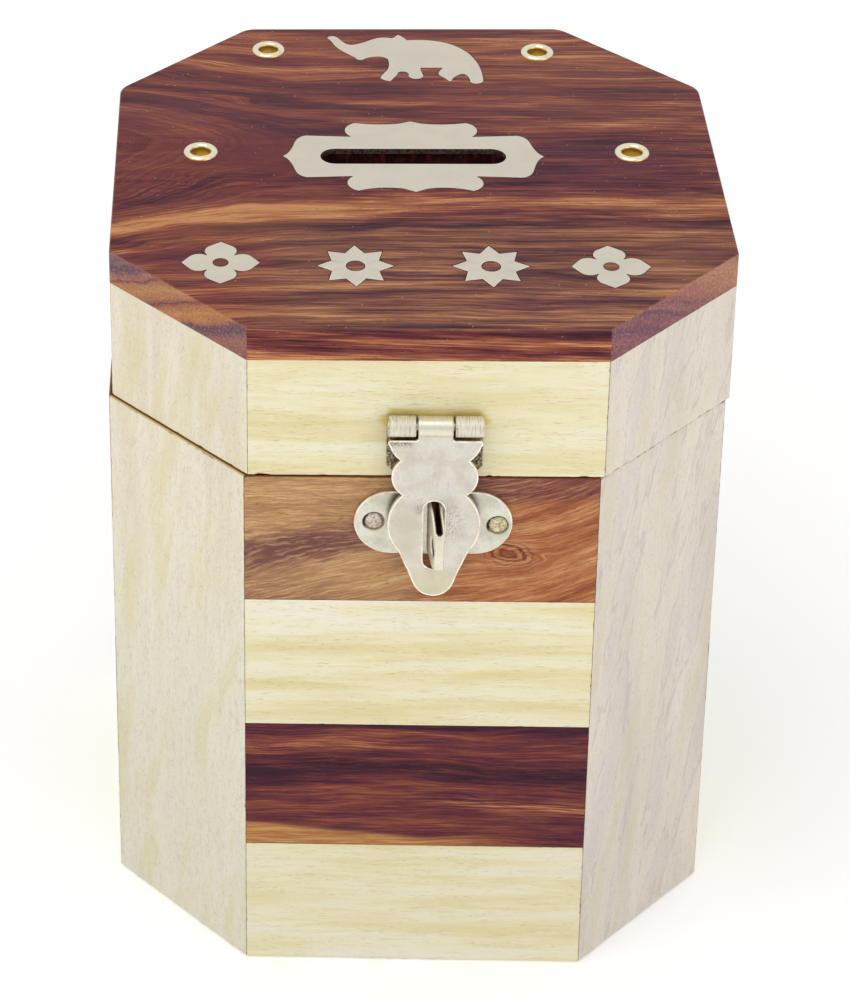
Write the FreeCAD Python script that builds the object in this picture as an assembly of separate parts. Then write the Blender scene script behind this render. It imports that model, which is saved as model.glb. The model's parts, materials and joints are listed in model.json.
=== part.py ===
"""Octagonal wooden money box with a hinged, inlaid lid and a front hasp.

Frame: origin at the centre of the case's underside, +Z up, the hasp side faces -Y, +X to the right.
All sizes are in millimetres. Every separate piece is written to parts/NODE.step.
"""

import FreeCAD
import Part

import math
import os

Vector = FreeCAD.Vector

# ---- Case and lid ----
CASE_WIDTH = 102.0          # across the left and right walls
CASE_DEPTH = 100.0          # across the front and back walls
CORNER_CUT = 22.5           # leg of each 45 degree corner
WALL = 9.0                  # thickness of every wall board
STRIP_HEIGHT = 25.5         # one strip of the striped walls
CASE_TOP = 100.8            # where the lid was sawn off
SAW_GAP = 0.3               # daylight between lid and case
PLATE_BOTTOM = 123.0        # top of the lid's rails
PLATE_THICKNESS = 6.0
PLATE_TOP = PLATE_BOTTOM + PLATE_THICKNESS
LID_BOTTOM = CASE_TOP + SAW_GAP
LID_OFFSET = 0.6            # the lid sits this far to the right of the case
FLOOR_THICKNESS = 6.0
FRONT_EDGE_RADIUS = 1.0     # sanding radius of the four upright edges towards the front
BACK_EDGE_RADIUS = 4.0      # the same for the four towards the back
FOOT_RADIUS = 0.9           # rounding round the foot of the case
PLATE_EDGE_RADIUS = 0.35    # rounding round the top of the lid's plate

# ---- Inlays and eyelets in the lid's plate ----
INLAY_THICKNESS = 1.0
INLAY_GAP = 0.12            # glue line round each inlay
SLOT_CENTRE = (0.5, 3.5)
SLOT_LENGTH = 31.6
SLOT_WIDTH = 5.1
SLOT_WOOD_MARGIN = 0.25     # the wood is cut this much wider than the metal's slot
ORNAMENT_PLACES = ((-32.1, -30.8), (-10.3, -31.6), (11.5, -31.6), (30.7, -31.6))    # not quite in line
ORNAMENT_RADIUS = 6.5
ELEPHANT_PLACE = (0.3, 33.0)
CURVE_TOLERANCE = 0.02
EYELET_PLACES = ((-35.8, 4.8), (37.7, 4.8), (-24.0, 41.7), (24.4, 40.7))
EYELET_BORE_RADIUS = 1.7
EYELET_TUBE_RADIUS = 2.1
EYELET_RIM_RADIUS = 3.0
EYELET_RIM_HEIGHT = 0.5

# ---- Sheet-metal hardware ----
SHEET = 0.8
HINGE_KNUCKLE_RADIUS = 1.5
HASP_KNUCKLE_RADIUS = 1.72
PIN_RADIUS = 0.7
PIN_CLEARANCE = 0.05
NAIL_SHANK_RADIUS = 0.7
NAIL_HEAD_RADIUS = 1.55
NAIL_HEAD_HEIGHT = 0.45
NAIL_HEAD_DOME = 0.2        # rounding of the head's upper edge
NAIL_LENGTH = 7.0
NAIL_TIP = 1.5              # length of the cone at the end
NAIL_TIP_RADIUS = 0.1
NAIL_CLEARANCE = 0.02

# ---- Hasp: hinged flap on the lid, staple on the case ----
HASP_X = 1.9                # the hasp sits a little right of centre
HASP_PIN_Z = 111.83
HASP_HALF_WIDTH = 7.6
HASP_MIDDLE_KNUCKLE = 5.5
HASP_KNUCKLE_GAP = 0.35
LEAF_FOOT_Z = 102.6
LEAF_NAIL_X = 3.6
LEAF_NAIL_Z = 106.0
FLAP_BACK = 2.2             # distance of the flap's back from the wood
FLAP_SLOT_WIDTH = 3.4
FLAP_SLOT_Z = (85.2, 98.4)
FLAP_BEND_Z = 85.4          # below this the tip turns outwards as a finger lift
FLAP_TIP_TILT = 12.0        # degrees
STAPLE_PLATE_LENGTH = 25.4
STAPLE_PLATE_HEIGHT = 12.0
STAPLE_PLATE_THICKNESS = 1.0
STAPLE_Z = 92.7
STAPLE_NAIL_PLACES = ((-9.45, 92.9), (10.4, 92.3))    # (distance from the hasp's middle, height)
STAPLE_NAIL_SEAT = 0.55     # depth of the sunk seat under each nail's head
LOOP_WIDTH = 1.75           # the staple's loop is one sheet folded into a narrow channel
LOOP_SHEET = 0.45
LOOP_REACH = 7.5            # how far its nose stands out from the wood
LOOP_ROOT_Z = (87.0, 97.2)  # its height where it leaves the plate
LOOP_NOSE_Z = (88.3, 93.7)  # and at the nose
LOOP_LEAN = 6.0             # degrees it is bent over towards +X
LOOP_FOOT = 1.6             # clinched feet behind the plate
PADLOCK_HOLE_RADIUS = 1.9
PADLOCK_HOLE = (5.05, 91.0) # (distance from the wood, height)

# ---- Back hinges ----
HINGE_X = 16.5
HINGE_HALF_WIDTH = 8.0
HINGE_LEAF_HEIGHT = 9.5
HINGE_CORNER_RADIUS = 1.2
HINGE_MIDDLE_KNUCKLE = 6.0
HINGE_KNUCKLE_GAP = 0.3
HINGE_NAIL_X = 4.6
HINGE_NAIL_FROM_PIN = 6.2
HINGE_Z = CASE_TOP + SAW_GAP / 2

FRONT_Y = -CASE_DEPTH / 2
BACK_Y = CASE_DEPTH / 2
HASP_PIN_Y = FRONT_Y - HASP_KNUCKLE_RADIUS
HINGE_PIN_Y = BACK_Y + HINGE_KNUCKLE_RADIUS
KNUCKLE_BORE = PIN_RADIUS + PIN_CLEARANCE


# ---------------------------------------------------------------- helpers

def octagon(width, depth, cut, dx=0.0):
    """Corner points (x, y), anticlockwise, starting at the left end of the front wall."""
    w, d = width / 2, depth / 2
    points = [(-w + cut, -d), (w - cut, -d), (w, -d + cut), (w, d - cut),
              (w - cut, d), (-w + cut, d), (-w, d - cut), (-w, -d + cut)]
    return [(x + dx, y) for x, y in points]


def prism(points, z_low, z_high):
    """Upright solid on a closed outline of (x, y) points."""
    corners = [Vector(x, y, z_low) for x, y in points]
    face = Part.Face(Part.makePolygon(corners + corners[:1]))
    return face.extrude(Vector(0, 0, z_high - z_low))


def box(x_range, y_range, z_range):
    size = [high - low for low, high in (x_range, y_range, z_range)]
    return Part.makeBox(*size, Vector(x_range[0], y_range[0], z_range[0]))


def upright_edges(solid):
    """The solid's vertical straight edges, as (edges towards the front, edges towards the back)."""
    front, back = [], []
    for edge in solid.Edges:
        start, end = edge.Vertexes[0].Point, edge.Vertexes[-1].Point
        if abs(start.x - end.x) < 1e-6 and abs(start.y - end.y) < 1e-6:
            (front if start.y < 0 else back).append(edge)
    return front, back


def edges_at_height(solid, z):
    return [e for e in solid.Edges if abs(e.BoundBox.ZMin - z) < 1e-6 and abs(e.BoundBox.ZMax - z) < 1e-6]


def sanded_block(z_low, z_high, dx=0.0):
    """Octagonal block of the outer size, with its upright edges rounded."""
    block = prism(octagon(CASE_WIDTH, CASE_DEPTH, CORNER_CUT, dx), z_low, z_high)
    block = block.makeFillet(BACK_EDGE_RADIUS, upright_edges(block)[1])
    return block.makeFillet(FRONT_EDGE_RADIUS, upright_edges(block)[0][:4])


def rod(radius, x_low, x_high, y, z):
    """Round bar along X."""
    return Part.makeCylinder(radius, x_high - x_low, Vector(x_low, y, z), Vector(1, 0, 0))


def face_from_edges(edges):
    return Part.Face(Part.Wire(Part.__sortEdges__(edges)))


def arc(start, middle, end):
    return Part.Arc(*(Vector(*p, 0) for p in (start, middle, end))).toShape()


def line(start, end):
    return Part.makeLine(Vector(*start, 0), Vector(*end, 0))


def curve(*points):
    """Smooth chain of arcs through (x, y) points, as a list of edges."""
    spline = Part.BSplineCurve()
    spline.interpolate([Vector(x, y, 0) for x, y in points])
    return [piece.toShape() for piece in spline.toBiArcs(CURVE_TOLERANCE)]


def mirrored(edges, normal):
    return [e.mirror(Vector(0, 0, 0), normal) for e in edges]


def stadium(length, width):
    """Flat face with half-round ends, along X, centred on the origin."""
    straight, radius = (length - width) / 2, width / 2
    return face_from_edges([
        line((-straight, -radius), (straight, -radius)),
        arc((straight, -radius), (straight + radius, 0), (straight, radius)),
        line((straight, radius), (-straight, radius)),
        arc((-straight, radius), (-straight - radius, 0), (-straight, -radius)),
    ])


def moved(shape, x=0.0, y=0.0, z=0.0):
    copy = shape.copy()
    copy.translate(Vector(x, y, z))
    return copy


def standing(face, x, y, z, thickness):
    """A flat outline drawn in XY, stood up facing -Y with its origin at (x, y, z), made thickness deep."""
    solid = face.extrude(Vector(0, 0, thickness))
    solid.rotate(Vector(0, 0, 0), Vector(1, 0, 0), 90)
    return moved(solid, x, y, z)


# ---------------------------------------------------------------- wooden walls

WALL_NAMES = ("front", "corner_front_right", "right", "corner_back_right",
              "back", "corner_back_left", "left", "corner_front_left")


def wall_boards(block, z_low, z_high, dx=0.0):
    """Eight mitred boards round a block: each takes one side, from corner to corner of the octagon."""
    outer = octagon(CASE_WIDTH, CASE_DEPTH, CORNER_CUT, dx)
    inner_cut = CORNER_CUT - WALL * (2 - math.sqrt(2))
    inner = octagon(CASE_WIDTH - 2 * WALL, CASE_DEPTH - 2 * WALL, inner_cut, dx)
    boards = {}
    for i, name in enumerate(WALL_NAMES):
        j = (i + 1) % 8
        boards[name] = block.common(prism([outer[i], outer[j], inner[j], inner[i]], z_low, z_high))
    return boards, inner


def case_wood():
    """Four corner boards, four striped walls of four strips each, and the floor."""
    block = sanded_block(0, CASE_TOP)
    block = block.makeFillet(FOOT_RADIUS, edges_at_height(block, 0))
    boards, inner = wall_boards(block, 0, CASE_TOP)
    reach = CASE_WIDTH
    nodes = {"floor": prism(inner, 0, FLOOR_THICKNESS)}
    for name, board in boards.items():
        if name.startswith("corner"):
            nodes[name] = board
            continue
        for number in (1, 2, 3, 4):
            low = (4 - number) * STRIP_HEIGHT
            high = CASE_TOP if number == 1 else low + STRIP_HEIGHT
            slab = box((-reach, reach), (-reach, reach), (low, high))
            nodes[f"{name}_strip_{number}"] = board.common(slab)
    return nodes


def lid_wood():
    """The lid's rails, corner blocks and top plate, before pockets and holes."""
    block = sanded_block(LID_BOTTOM, PLATE_TOP, LID_OFFSET)
    boards, _ = wall_boards(block, LID_BOTTOM, PLATE_BOTTOM, LID_OFFSET)
    nodes = {}
    for name, board in boards.items():
        nodes[f"lid_{name}" if name.startswith("corner") else f"lid_{name}_rail"] = board
    plate = sanded_block(PLATE_BOTTOM, PLATE_TOP, LID_OFFSET)
    nodes["lid_plate"] = plate.makeFillet(PLATE_EDGE_RADIUS, edges_at_height(plate, PLATE_TOP))
    return nodes


# ---------------------------------------------------------------- inlay outlines, in XY round the origin

def escutcheon_outline():
    """Slot plate: ogee-ended arms crossed by a scalloped middle block."""
    ogee = curve((22.4, 0), (21.2, 1.6), (20.5, 3.7), (19.7, 6.1), (18.2, 7.2))
    arm = ogee + [line((18.2, 7.2), (10.6, 6.8))]

    def block(valley, peak):
        return [
            arc((10.6, 6.8), (11.5, 9.2), (9.6, 11.6)),
            arc((9.6, 11.6), (5.4, valley), (2.0, valley + 0.3)),
            line((2.0, valley + 0.3), (0, peak)),
        ]

    upper = arm + block(11.1, 12.2)
    lower = mirrored(arm + block(10.6, 12.0), Vector(0, 1, 0))
    half = upper + lower
    return face_from_edges(half + mirrored(half, Vector(1, 0, 0)))


def elephant_outline():
    """Walking elephant with its trunk raised, facing -X: smooth stretches that meet at sharp corners."""
    corners_and_curves = [
        [(-13.7, 13.3), (-12.9, 14.2), (-11.7, 13.7)],                              # trunk's end
        [(-11.7, 13.7), (-10.5, 11.7), (-9.6, 10.9), (-8.3, 11.1), (-6.4, 12.2), (-4.9, 13.2), (-1.9, 13.4)],
        [(-1.9, 13.4), (-1.3, 13.9), (-0.7, 14.6), (-0.1, 14.2), (1.0, 12.6)],      # ear
        [(1.0, 12.6), (4.4, 12.6), (7.4, 11.8), (10.0, 10.0), (12.0, 7.2), (13.1, 4.4), (13.9, -2.6)],
        [(13.9, -2.6), (13.2, -3.8), (12.0, -3.9), (11.3, -3.0)],                   # hindmost foot
        [(11.3, -3.0), (11.1, -1.4), (10.4, -0.4), (9.4, -0.9), (8.4, -2.7)],       # between the hind legs
        [(8.4, -2.7), (7.9, -3.1), (7.4, -2.6)],
        [(7.4, -2.6), (6.5, -1.4), (5.9, -0.3), (6.1, 0.7), (6.7, 1.9)],
        [(6.7, 1.9), (3.0, 1.9)],                                                   # belly
        [(3.0, 1.9), (3.1, 0.6), (3.4, -0.9)],
        [(3.4, -0.9), (2.9, -1.9), (2.0, -2.4), (1.1, -2.0), (0.5, -0.9)],          # front foot
        [(0.5, -0.9), (0.2, 0.3), (-0.4, 0.5), (-1.2, -0.5)],
        [(-1.2, -0.5), (-2.6, -3.1)],
        [(-2.6, -3.1), (-3.7, -2.7), (-4.5, -1.9)],                                 # foremost foot
        [(-4.5, -1.9), (-4.1, -0.5), (-3.2, 1.2), (-2.8, 3.6), (-2.9, 5.2)],        # chest
        [(-2.9, 5.2), (-3.9, 6.0), (-5.8, 5.9), (-7.3, 4.9)],                       # chin
        [(-7.3, 4.9), (-8.1, 4.9), (-8.8, 5.8)],
        [(-8.8, 5.8), (-10.8, 8.0), (-12.0, 9.7), (-12.8, 11.6), (-13.7, 13.3)],    # under the trunk
    ]
    edges = []
    for points in corners_and_curves:
        edges += curve(*points) if len(points) > 2 else [line(*points)]
    return face_from_edges(edges)


def turned(edges, angle):
    copies = [edge.copy() for edge in edges]
    for edge in copies:
        edge.rotate(Vector(0, 0, 0), Vector(0, 0, 1), angle)
    return copies


def flower_outline():
    """Four-petalled flower with a pointed tip on each petal."""
    r = ORNAMENT_RADIUS
    notch, tip = (r * 0.36, r * 0.36), (r, 0)
    shoulder = (r * 0.80, r * 0.28)
    half_petal = [arc(notch, (r * 0.59, r * 0.415), shoulder), line(shoulder, tip)]
    petal = half_petal + mirrored(half_petal, Vector(0, 1, 0))
    return face_from_edges([edge for i in range(4) for edge in turned(petal, 90 * i)])


def star_outline():
    """Eight-pointed star."""
    radii = [ORNAMENT_RADIUS, ORNAMENT_RADIUS * 0.66] * 8
    corners = [Vector(r * math.cos(math.pi / 8 * i), r * math.sin(math.pi / 8 * i), 0)
               for i, r in enumerate(radii)]
    return Part.Face(Part.makePolygon(corners + corners[:1]))


def disc(radius):
    return Part.Face(Part.Wire(Part.makeCircle(radius)))


def add_inlays(nodes):
    """Lets each metal inlay into the plate, with a thin glue line round it, and cuts the coin slot.
    Each inlay is an outline with an opening, or None; the wood stands up inside a small opening."""
    far_left, left, right, far_right = ORNAMENT_PLACES
    flower, star = flower_outline(), star_outline()
    flower_eye, star_eye = disc(ORNAMENT_RADIUS * 0.2), disc(ORNAMENT_RADIUS * 0.24)
    inlays = {
        "slot_plate": (escutcheon_outline(), stadium(SLOT_LENGTH, SLOT_WIDTH), SLOT_CENTRE),
        "elephant_inlay": (elephant_outline(), None, ELEPHANT_PLACE),
        "ornament_far_left": (flower, flower_eye, far_left),
        "ornament_left": (star, star_eye, left),
        "ornament_right": (star, star_eye, right),
        "ornament_far_right": (flower, flower_eye, far_right),
    }
    plate = nodes["lid_plate"]
    base = PLATE_TOP - INLAY_THICKNESS
    for name, (outline, opening, (x, y)) in inlays.items():
        pocket = outline
        metal = outline.makeOffset2D(-INLAY_GAP)
        if opening:
            pocket = pocket.cut(opening.makeOffset2D(-INLAY_GAP))
            metal = metal.cut(opening)
        plate = plate.cut(moved(pocket, x, y, base).extrude(Vector(0, 0, 2 * INLAY_THICKNESS)))
        nodes[name] = moved(metal, x, y, base).extrude(Vector(0, 0, INLAY_THICKNESS)).Solids[0]
    wood_slot = stadium(SLOT_LENGTH + 2 * SLOT_WOOD_MARGIN, SLOT_WIDTH + 2 * SLOT_WOOD_MARGIN)
    wood_slot = moved(wood_slot, *SLOT_CENTRE, PLATE_BOTTOM).extrude(Vector(0, 0, PLATE_THICKNESS))
    nodes["lid_plate"] = plate.cut(wood_slot)


def add_eyelets(nodes):
    """Four brass eyelets through the plate, each a tube with a rounded rim."""
    bore, tube, rim = EYELET_BORE_RADIUS, EYELET_TUBE_RADIUS, EYELET_RIM_RADIUS
    middle = (bore + rim) / 2
    profile = Part.Face(Part.Wire([
        Part.makeLine(Vector(bore, 0, PLATE_BOTTOM), Vector(bore, 0, PLATE_TOP)),
        Part.Arc(Vector(bore, 0, PLATE_TOP), Vector(middle, 0, PLATE_TOP + EYELET_RIM_HEIGHT),
                 Vector(rim, 0, PLATE_TOP)).toShape(),
        Part.makeLine(Vector(rim, 0, PLATE_TOP), Vector(tube, 0, PLATE_TOP)),
        Part.makeLine(Vector(tube, 0, PLATE_TOP), Vector(tube, 0, PLATE_BOTTOM)),
        Part.makeLine(Vector(tube, 0, PLATE_BOTTOM), Vector(bore, 0, PLATE_BOTTOM)),
    ]))
    eyelet = profile.revolve(Vector(0, 0, 0), Vector(0, 0, 1), 360)
    nodes["brass_eyelets"] = Part.makeCompound([moved(eyelet, x, y) for x, y in EYELET_PLACES])
    for x, y in EYELET_PLACES:
        hole = Part.makeCylinder(tube + NAIL_CLEARANCE, PLATE_THICKNESS, Vector(x, y, PLATE_BOTTOM))
        nodes["lid_plate"] = nodes["lid_plate"].cut(hole)


# ---------------------------------------------------------------- nails

def nail(x, z, wall_y, seat, out):
    """Round-headed nail driven into a wall at wall_y. out is -1 for the front wall and +1 for the back.
    seat is the distance from the wood to the underside of the head."""
    outwards = Vector(0, out, 0)

    def at(distance):
        return Vector(x, wall_y + out * distance, z)

    shank_length = NAIL_LENGTH - NAIL_TIP + seat
    shank = Part.makeCylinder(NAIL_SHANK_RADIUS, shank_length, at(NAIL_TIP - NAIL_LENGTH), outwards)
    point = Part.makeCone(NAIL_TIP_RADIUS, NAIL_SHANK_RADIUS, NAIL_TIP, at(-NAIL_LENGTH), outwards)
    head = Part.makeCylinder(NAIL_HEAD_RADIUS, NAIL_HEAD_HEIGHT, at(seat), outwards)
    top = max(head.Faces, key=lambda f: f.CenterOfMass.y * out)
    return head.makeFillet(NAIL_HEAD_DOME, top.Edges).fuse(shank).fuse(point).removeSplitter()


def drive_nails(nodes, name, board, places, wall_y, seat, out):
    """Adds the nails as one node, and their pilot holes to the board."""
    nodes[name] = Part.makeCompound([nail(x, z, wall_y, seat, out) for x, z in places])
    for x, z in places:
        hole = Part.makeCylinder(NAIL_SHANK_RADIUS + NAIL_CLEARANCE, NAIL_LENGTH + 0.1,
                                 Vector(x, wall_y, z), Vector(0, -out, 0))
        nodes[board] = nodes[board].cut(hole)


def nail_hole(x, z, wall_y, out, thickness):
    """Clearance hole for a nail's shank through a leaf of that thickness."""
    start = Vector(x, wall_y - out * 0.1, z)
    return Part.makeCylinder(NAIL_SHANK_RADIUS + 0.1, thickness + 0.2, start, Vector(0, out, 0))


# ---------------------------------------------------------------- hasp

def knuckles(spans, radius, y, z):
    """Rolled knuckles along X, one for each (low, high) span, with the pin's bore through them."""
    rings = [rod(radius, low, high, y, z) for low, high in spans]
    ends = [end for span in spans for end in span]
    bore = rod(KNUCKLE_BORE, min(ends) - 1, max(ends) + 1, y, z)
    body = rings[0].fuse(rings[1:]) if len(rings) > 1 else rings[0]
    return body, bore


def hasp_leaf():
    """Fixed leaf on the lid: a plate with a knuckle rolled at each side."""
    gap = HASP_MIDDLE_KNUCKLE / 2 + HASP_KNUCKLE_GAP
    spans = [(HASP_X - HASP_HALF_WIDTH, HASP_X - gap), (HASP_X + gap, HASP_X + HASP_HALF_WIDTH)]
    rings, bore = knuckles(spans, HASP_KNUCKLE_RADIUS, HASP_PIN_Y, HASP_PIN_Z)
    corner = 1.1
    top = HASP_PIN_Z - HASP_KNUCKLE_RADIUS - 0.6
    outline = [(-HASP_HALF_WIDTH, top), (-HASP_HALF_WIDTH, LEAF_FOOT_Z + corner),
               (-HASP_HALF_WIDTH + corner, LEAF_FOOT_Z), (HASP_HALF_WIDTH - corner, LEAF_FOOT_Z),
               (HASP_HALF_WIDTH, LEAF_FOOT_Z + corner), (HASP_HALF_WIDTH, top)]
    corners = [Vector(HASP_X + x, FRONT_Y, z) for x, z in outline]
    leaf = Part.Face(Part.makePolygon(corners + corners[:1])).extrude(Vector(0, -SHEET, 0))
    for low, high in spans:
        leaf = leaf.fuse(box((low, high), (FRONT_Y - SHEET, FRONT_Y), (top, HASP_PIN_Z)))
    leaf = leaf.fuse(rings).cut(bore)
    for side in (-1, 1):
        leaf = leaf.cut(nail_hole(HASP_X + side * LEAF_NAIL_X, LEAF_NAIL_Z, FRONT_Y, -1, SHEET))
    return leaf.removeSplitter()


def flap_outline():
    """Neck, shoulders, two lobes and a rounded tongue, the same on both sides, drawn with height as Y."""
    neck, shoulder_top = HASP_MIDDLE_KNUCKLE / 2, 109.9
    tongue_radius, tongue_z, tongue_slope = 3.45, 83.85, math.radians(21.4)

    def on_tongue(angle):
        return tongue_radius * math.cos(angle), tongue_z - tongue_radius * math.sin(angle)

    half = [
        line((neck, HASP_PIN_Z), (neck, shoulder_top + 0.5)),
        arc((neck, shoulder_top + 0.5), (neck + 0.15, shoulder_top + 0.15), (neck + 0.5, shoulder_top)),
        line((neck + 0.5, shoulder_top), (7.1, shoulder_top)),
        arc((7.1, shoulder_top), (7.45, 109.5), (7.2, 108.9)),
        arc((7.2, 108.9), (6.55, 107.4), (5.4, 106.1)),
        arc((5.4, 106.1), (6.85, 102.8), (5.05, 99.5)),
        arc((5.05, 99.5), (7.35, 94.6), (5.6, 88.7)),
        line((5.6, 88.7), on_tongue(tongue_slope)),
        arc(on_tongue(tongue_slope), on_tongue(math.radians(56)), on_tongue(math.radians(90))),
    ]
    top = [line((-neck, HASP_PIN_Z), (neck, HASP_PIN_Z))]
    return face_from_edges(top + half + mirrored(half, Vector(1, 0, 0)))


def hasp_flap():
    """Swinging flap: decorative sheet rolled round the pin, with a slot for the staple and a lifted tip."""
    back_y = FRONT_Y - FLAP_BACK
    sheet = standing(flap_outline(), HASP_X, back_y, 0, SHEET)
    far = 20.0
    below = box((HASP_X - far, HASP_X + far), (back_y - far, back_y + far), (0, FLAP_BEND_Z))
    tongue = sheet.common(below)
    tongue.rotate(Vector(HASP_X, back_y, FLAP_BEND_Z), Vector(1, 0, 0), -FLAP_TIP_TILT)
    flap = sheet.cut(below).fuse(tongue)
    low, high = FLAP_SLOT_Z
    slot = stadium(high - low, FLAP_SLOT_WIDTH)
    slot.rotate(Vector(0, 0, 0), Vector(0, 0, 1), 90)
    flap = flap.cut(standing(slot, HASP_X, back_y + 1, (low + high) / 2, SHEET + 2))
    half = HASP_MIDDLE_KNUCKLE / 2
    ring, bore = knuckles([(HASP_X - half, HASP_X + half)], HASP_KNUCKLE_RADIUS, HASP_PIN_Y, HASP_PIN_Z)
    return flap.fuse(ring).cut(bore).removeSplitter()


def leaned(solid):
    """Bends the staple's loop over sideways, about an upright line where it leaves the wood."""
    copy = solid.copy()
    copy.rotate(Vector(HASP_X, FRONT_Y, 0), Vector(0, 0, 1), LOOP_LEAN)
    return copy


def loop_slot(clearance):
    """Straight-sided opening that the loop passes through, grown by a clearance."""
    half = LOOP_WIDTH / 2 + clearance
    low, high = LOOP_ROOT_Z
    slot = box((HASP_X - half, HASP_X + half), (FRONT_Y - 2 * STAPLE_PLATE_THICKNESS, FRONT_Y + LOOP_SHEET),
               (low - clearance, high + clearance))
    return leaned(slot)


def feet(clearance):
    """The loop's feet, folded flat behind the plate: the shape of their pocket in the wood."""
    half = LOOP_WIDTH / 2 + LOOP_FOOT + clearance
    low, high = LOOP_ROOT_Z
    return box((HASP_X - half, HASP_X + half), (FRONT_Y, FRONT_Y + LOOP_SHEET + clearance),
               (low - clearance, high + clearance))


def staple_plate():
    """Oblong plate on the case, with sunk seats for two nails and a slot for the loop."""
    plate = stadium(STAPLE_PLATE_LENGTH, STAPLE_PLATE_HEIGHT)
    plate = standing(plate, HASP_X, FRONT_Y, STAPLE_Z, STAPLE_PLATE_THICKNESS)
    seat_radius = NAIL_HEAD_RADIUS + 0.15
    for distance, z in STAPLE_NAIL_PLACES:
        x = HASP_X + distance
        start = Vector(x, FRONT_Y - STAPLE_PLATE_THICKNESS, z)
        plate = plate.cut(nail_hole(x, z, FRONT_Y, -1, STAPLE_PLATE_THICKNESS))
        plate = plate.cut(Part.makeCylinder(seat_radius, STAPLE_NAIL_SEAT, start, Vector(0, 1, 0)))
    return plate.cut(loop_slot(0.05))


def staple_loop():
    """Sheet folded into an upright channel that stands out through the flap's slot, nose outwards.
    Its top and foot slope towards the nose, and the padlock's hole goes through both sides."""
    nose_radius = LOOP_WIDTH / 2
    low, high = LOOP_ROOT_Z

    def tongue(radius):
        centre_y = FRONT_Y - LOOP_REACH + nose_radius
        block = box((HASP_X - radius, HASP_X + radius), (centre_y, FRONT_Y + LOOP_SHEET), (low, high))
        return block.fuse(Part.makeCylinder(radius, high - low, Vector(HASP_X, centre_y, low)))

    channel = tongue(nose_radius).cut(tongue(nose_radius - LOOP_SHEET))
    nose_low, nose_high = LOOP_NOSE_Z
    side = Part.Face(Part.Wire([
        Part.makeLine(Vector(0, FRONT_Y + LOOP_SHEET, low), Vector(0, FRONT_Y - 1.5, low)),
        Part.Arc(Vector(0, FRONT_Y - 1.5, low), Vector(0, FRONT_Y - 5.2, low + 0.35),
                 Vector(0, FRONT_Y - LOOP_REACH, nose_low)).toShape(),
        Part.makeLine(Vector(0, FRONT_Y - LOOP_REACH, nose_low), Vector(0, FRONT_Y - LOOP_REACH, nose_high)),
        Part.Arc(Vector(0, FRONT_Y - LOOP_REACH, nose_high), Vector(0, FRONT_Y - 5.4, high - 1.2),
                 Vector(0, FRONT_Y - 2.0, high)).toShape(),
        Part.makeLine(Vector(0, FRONT_Y - 2.0, high), Vector(0, FRONT_Y + LOOP_SHEET, high)),
        Part.makeLine(Vector(0, FRONT_Y + LOOP_SHEET, high), Vector(0, FRONT_Y + LOOP_SHEET, low)),
    ]))
    profile = moved(side, HASP_X - nose_radius).extrude(Vector(LOOP_WIDTH, 0, 0))
    distance, height = PADLOCK_HOLE
    hole = rod(PADLOCK_HOLE_RADIUS, HASP_X - LOOP_WIDTH, HASP_X + LOOP_WIDTH, FRONT_Y - distance, height)
    loop = leaned(channel.common(profile).cut(hole))
    gap = LOOP_WIDTH / 2 - LOOP_SHEET
    middle = leaned(box((HASP_X - gap, HASP_X + gap), (FRONT_Y - 1, FRONT_Y + 1), (low, high)))
    behind = box((HASP_X - 10, HASP_X + 10), (FRONT_Y, FRONT_Y + 1), (low, high))
    return loop.fuse(feet(0).common(behind).cut(middle)).removeSplitter()


def add_hasp(nodes):
    nodes["hasp_leaf"] = hasp_leaf()
    nodes["hasp_flap"] = hasp_flap()
    nodes["hasp_pin"] = rod(PIN_RADIUS, HASP_X - HASP_HALF_WIDTH, HASP_X + HASP_HALF_WIDTH,
                            HASP_PIN_Y, HASP_PIN_Z)
    nodes["staple_plate"] = staple_plate()
    nodes["staple_loop"] = staple_loop()
    nodes["front_strip_1"] = nodes["front_strip_1"].cut(feet(0.1))
    leaf_places = [(HASP_X + side * LEAF_NAIL_X, LEAF_NAIL_Z) for side in (-1, 1)]
    drive_nails(nodes, "hasp_leaf_nails", "lid_front_rail", leaf_places, FRONT_Y, SHEET, -1)
    staple_places = [(HASP_X + distance, z) for distance, z in STAPLE_NAIL_PLACES]
    seat = STAPLE_PLATE_THICKNESS - STAPLE_NAIL_SEAT
    drive_nails(nodes, "staple_nails", "front_strip_1", staple_places, FRONT_Y, seat, -1)


# ---------------------------------------------------------------- back hinges

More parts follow.
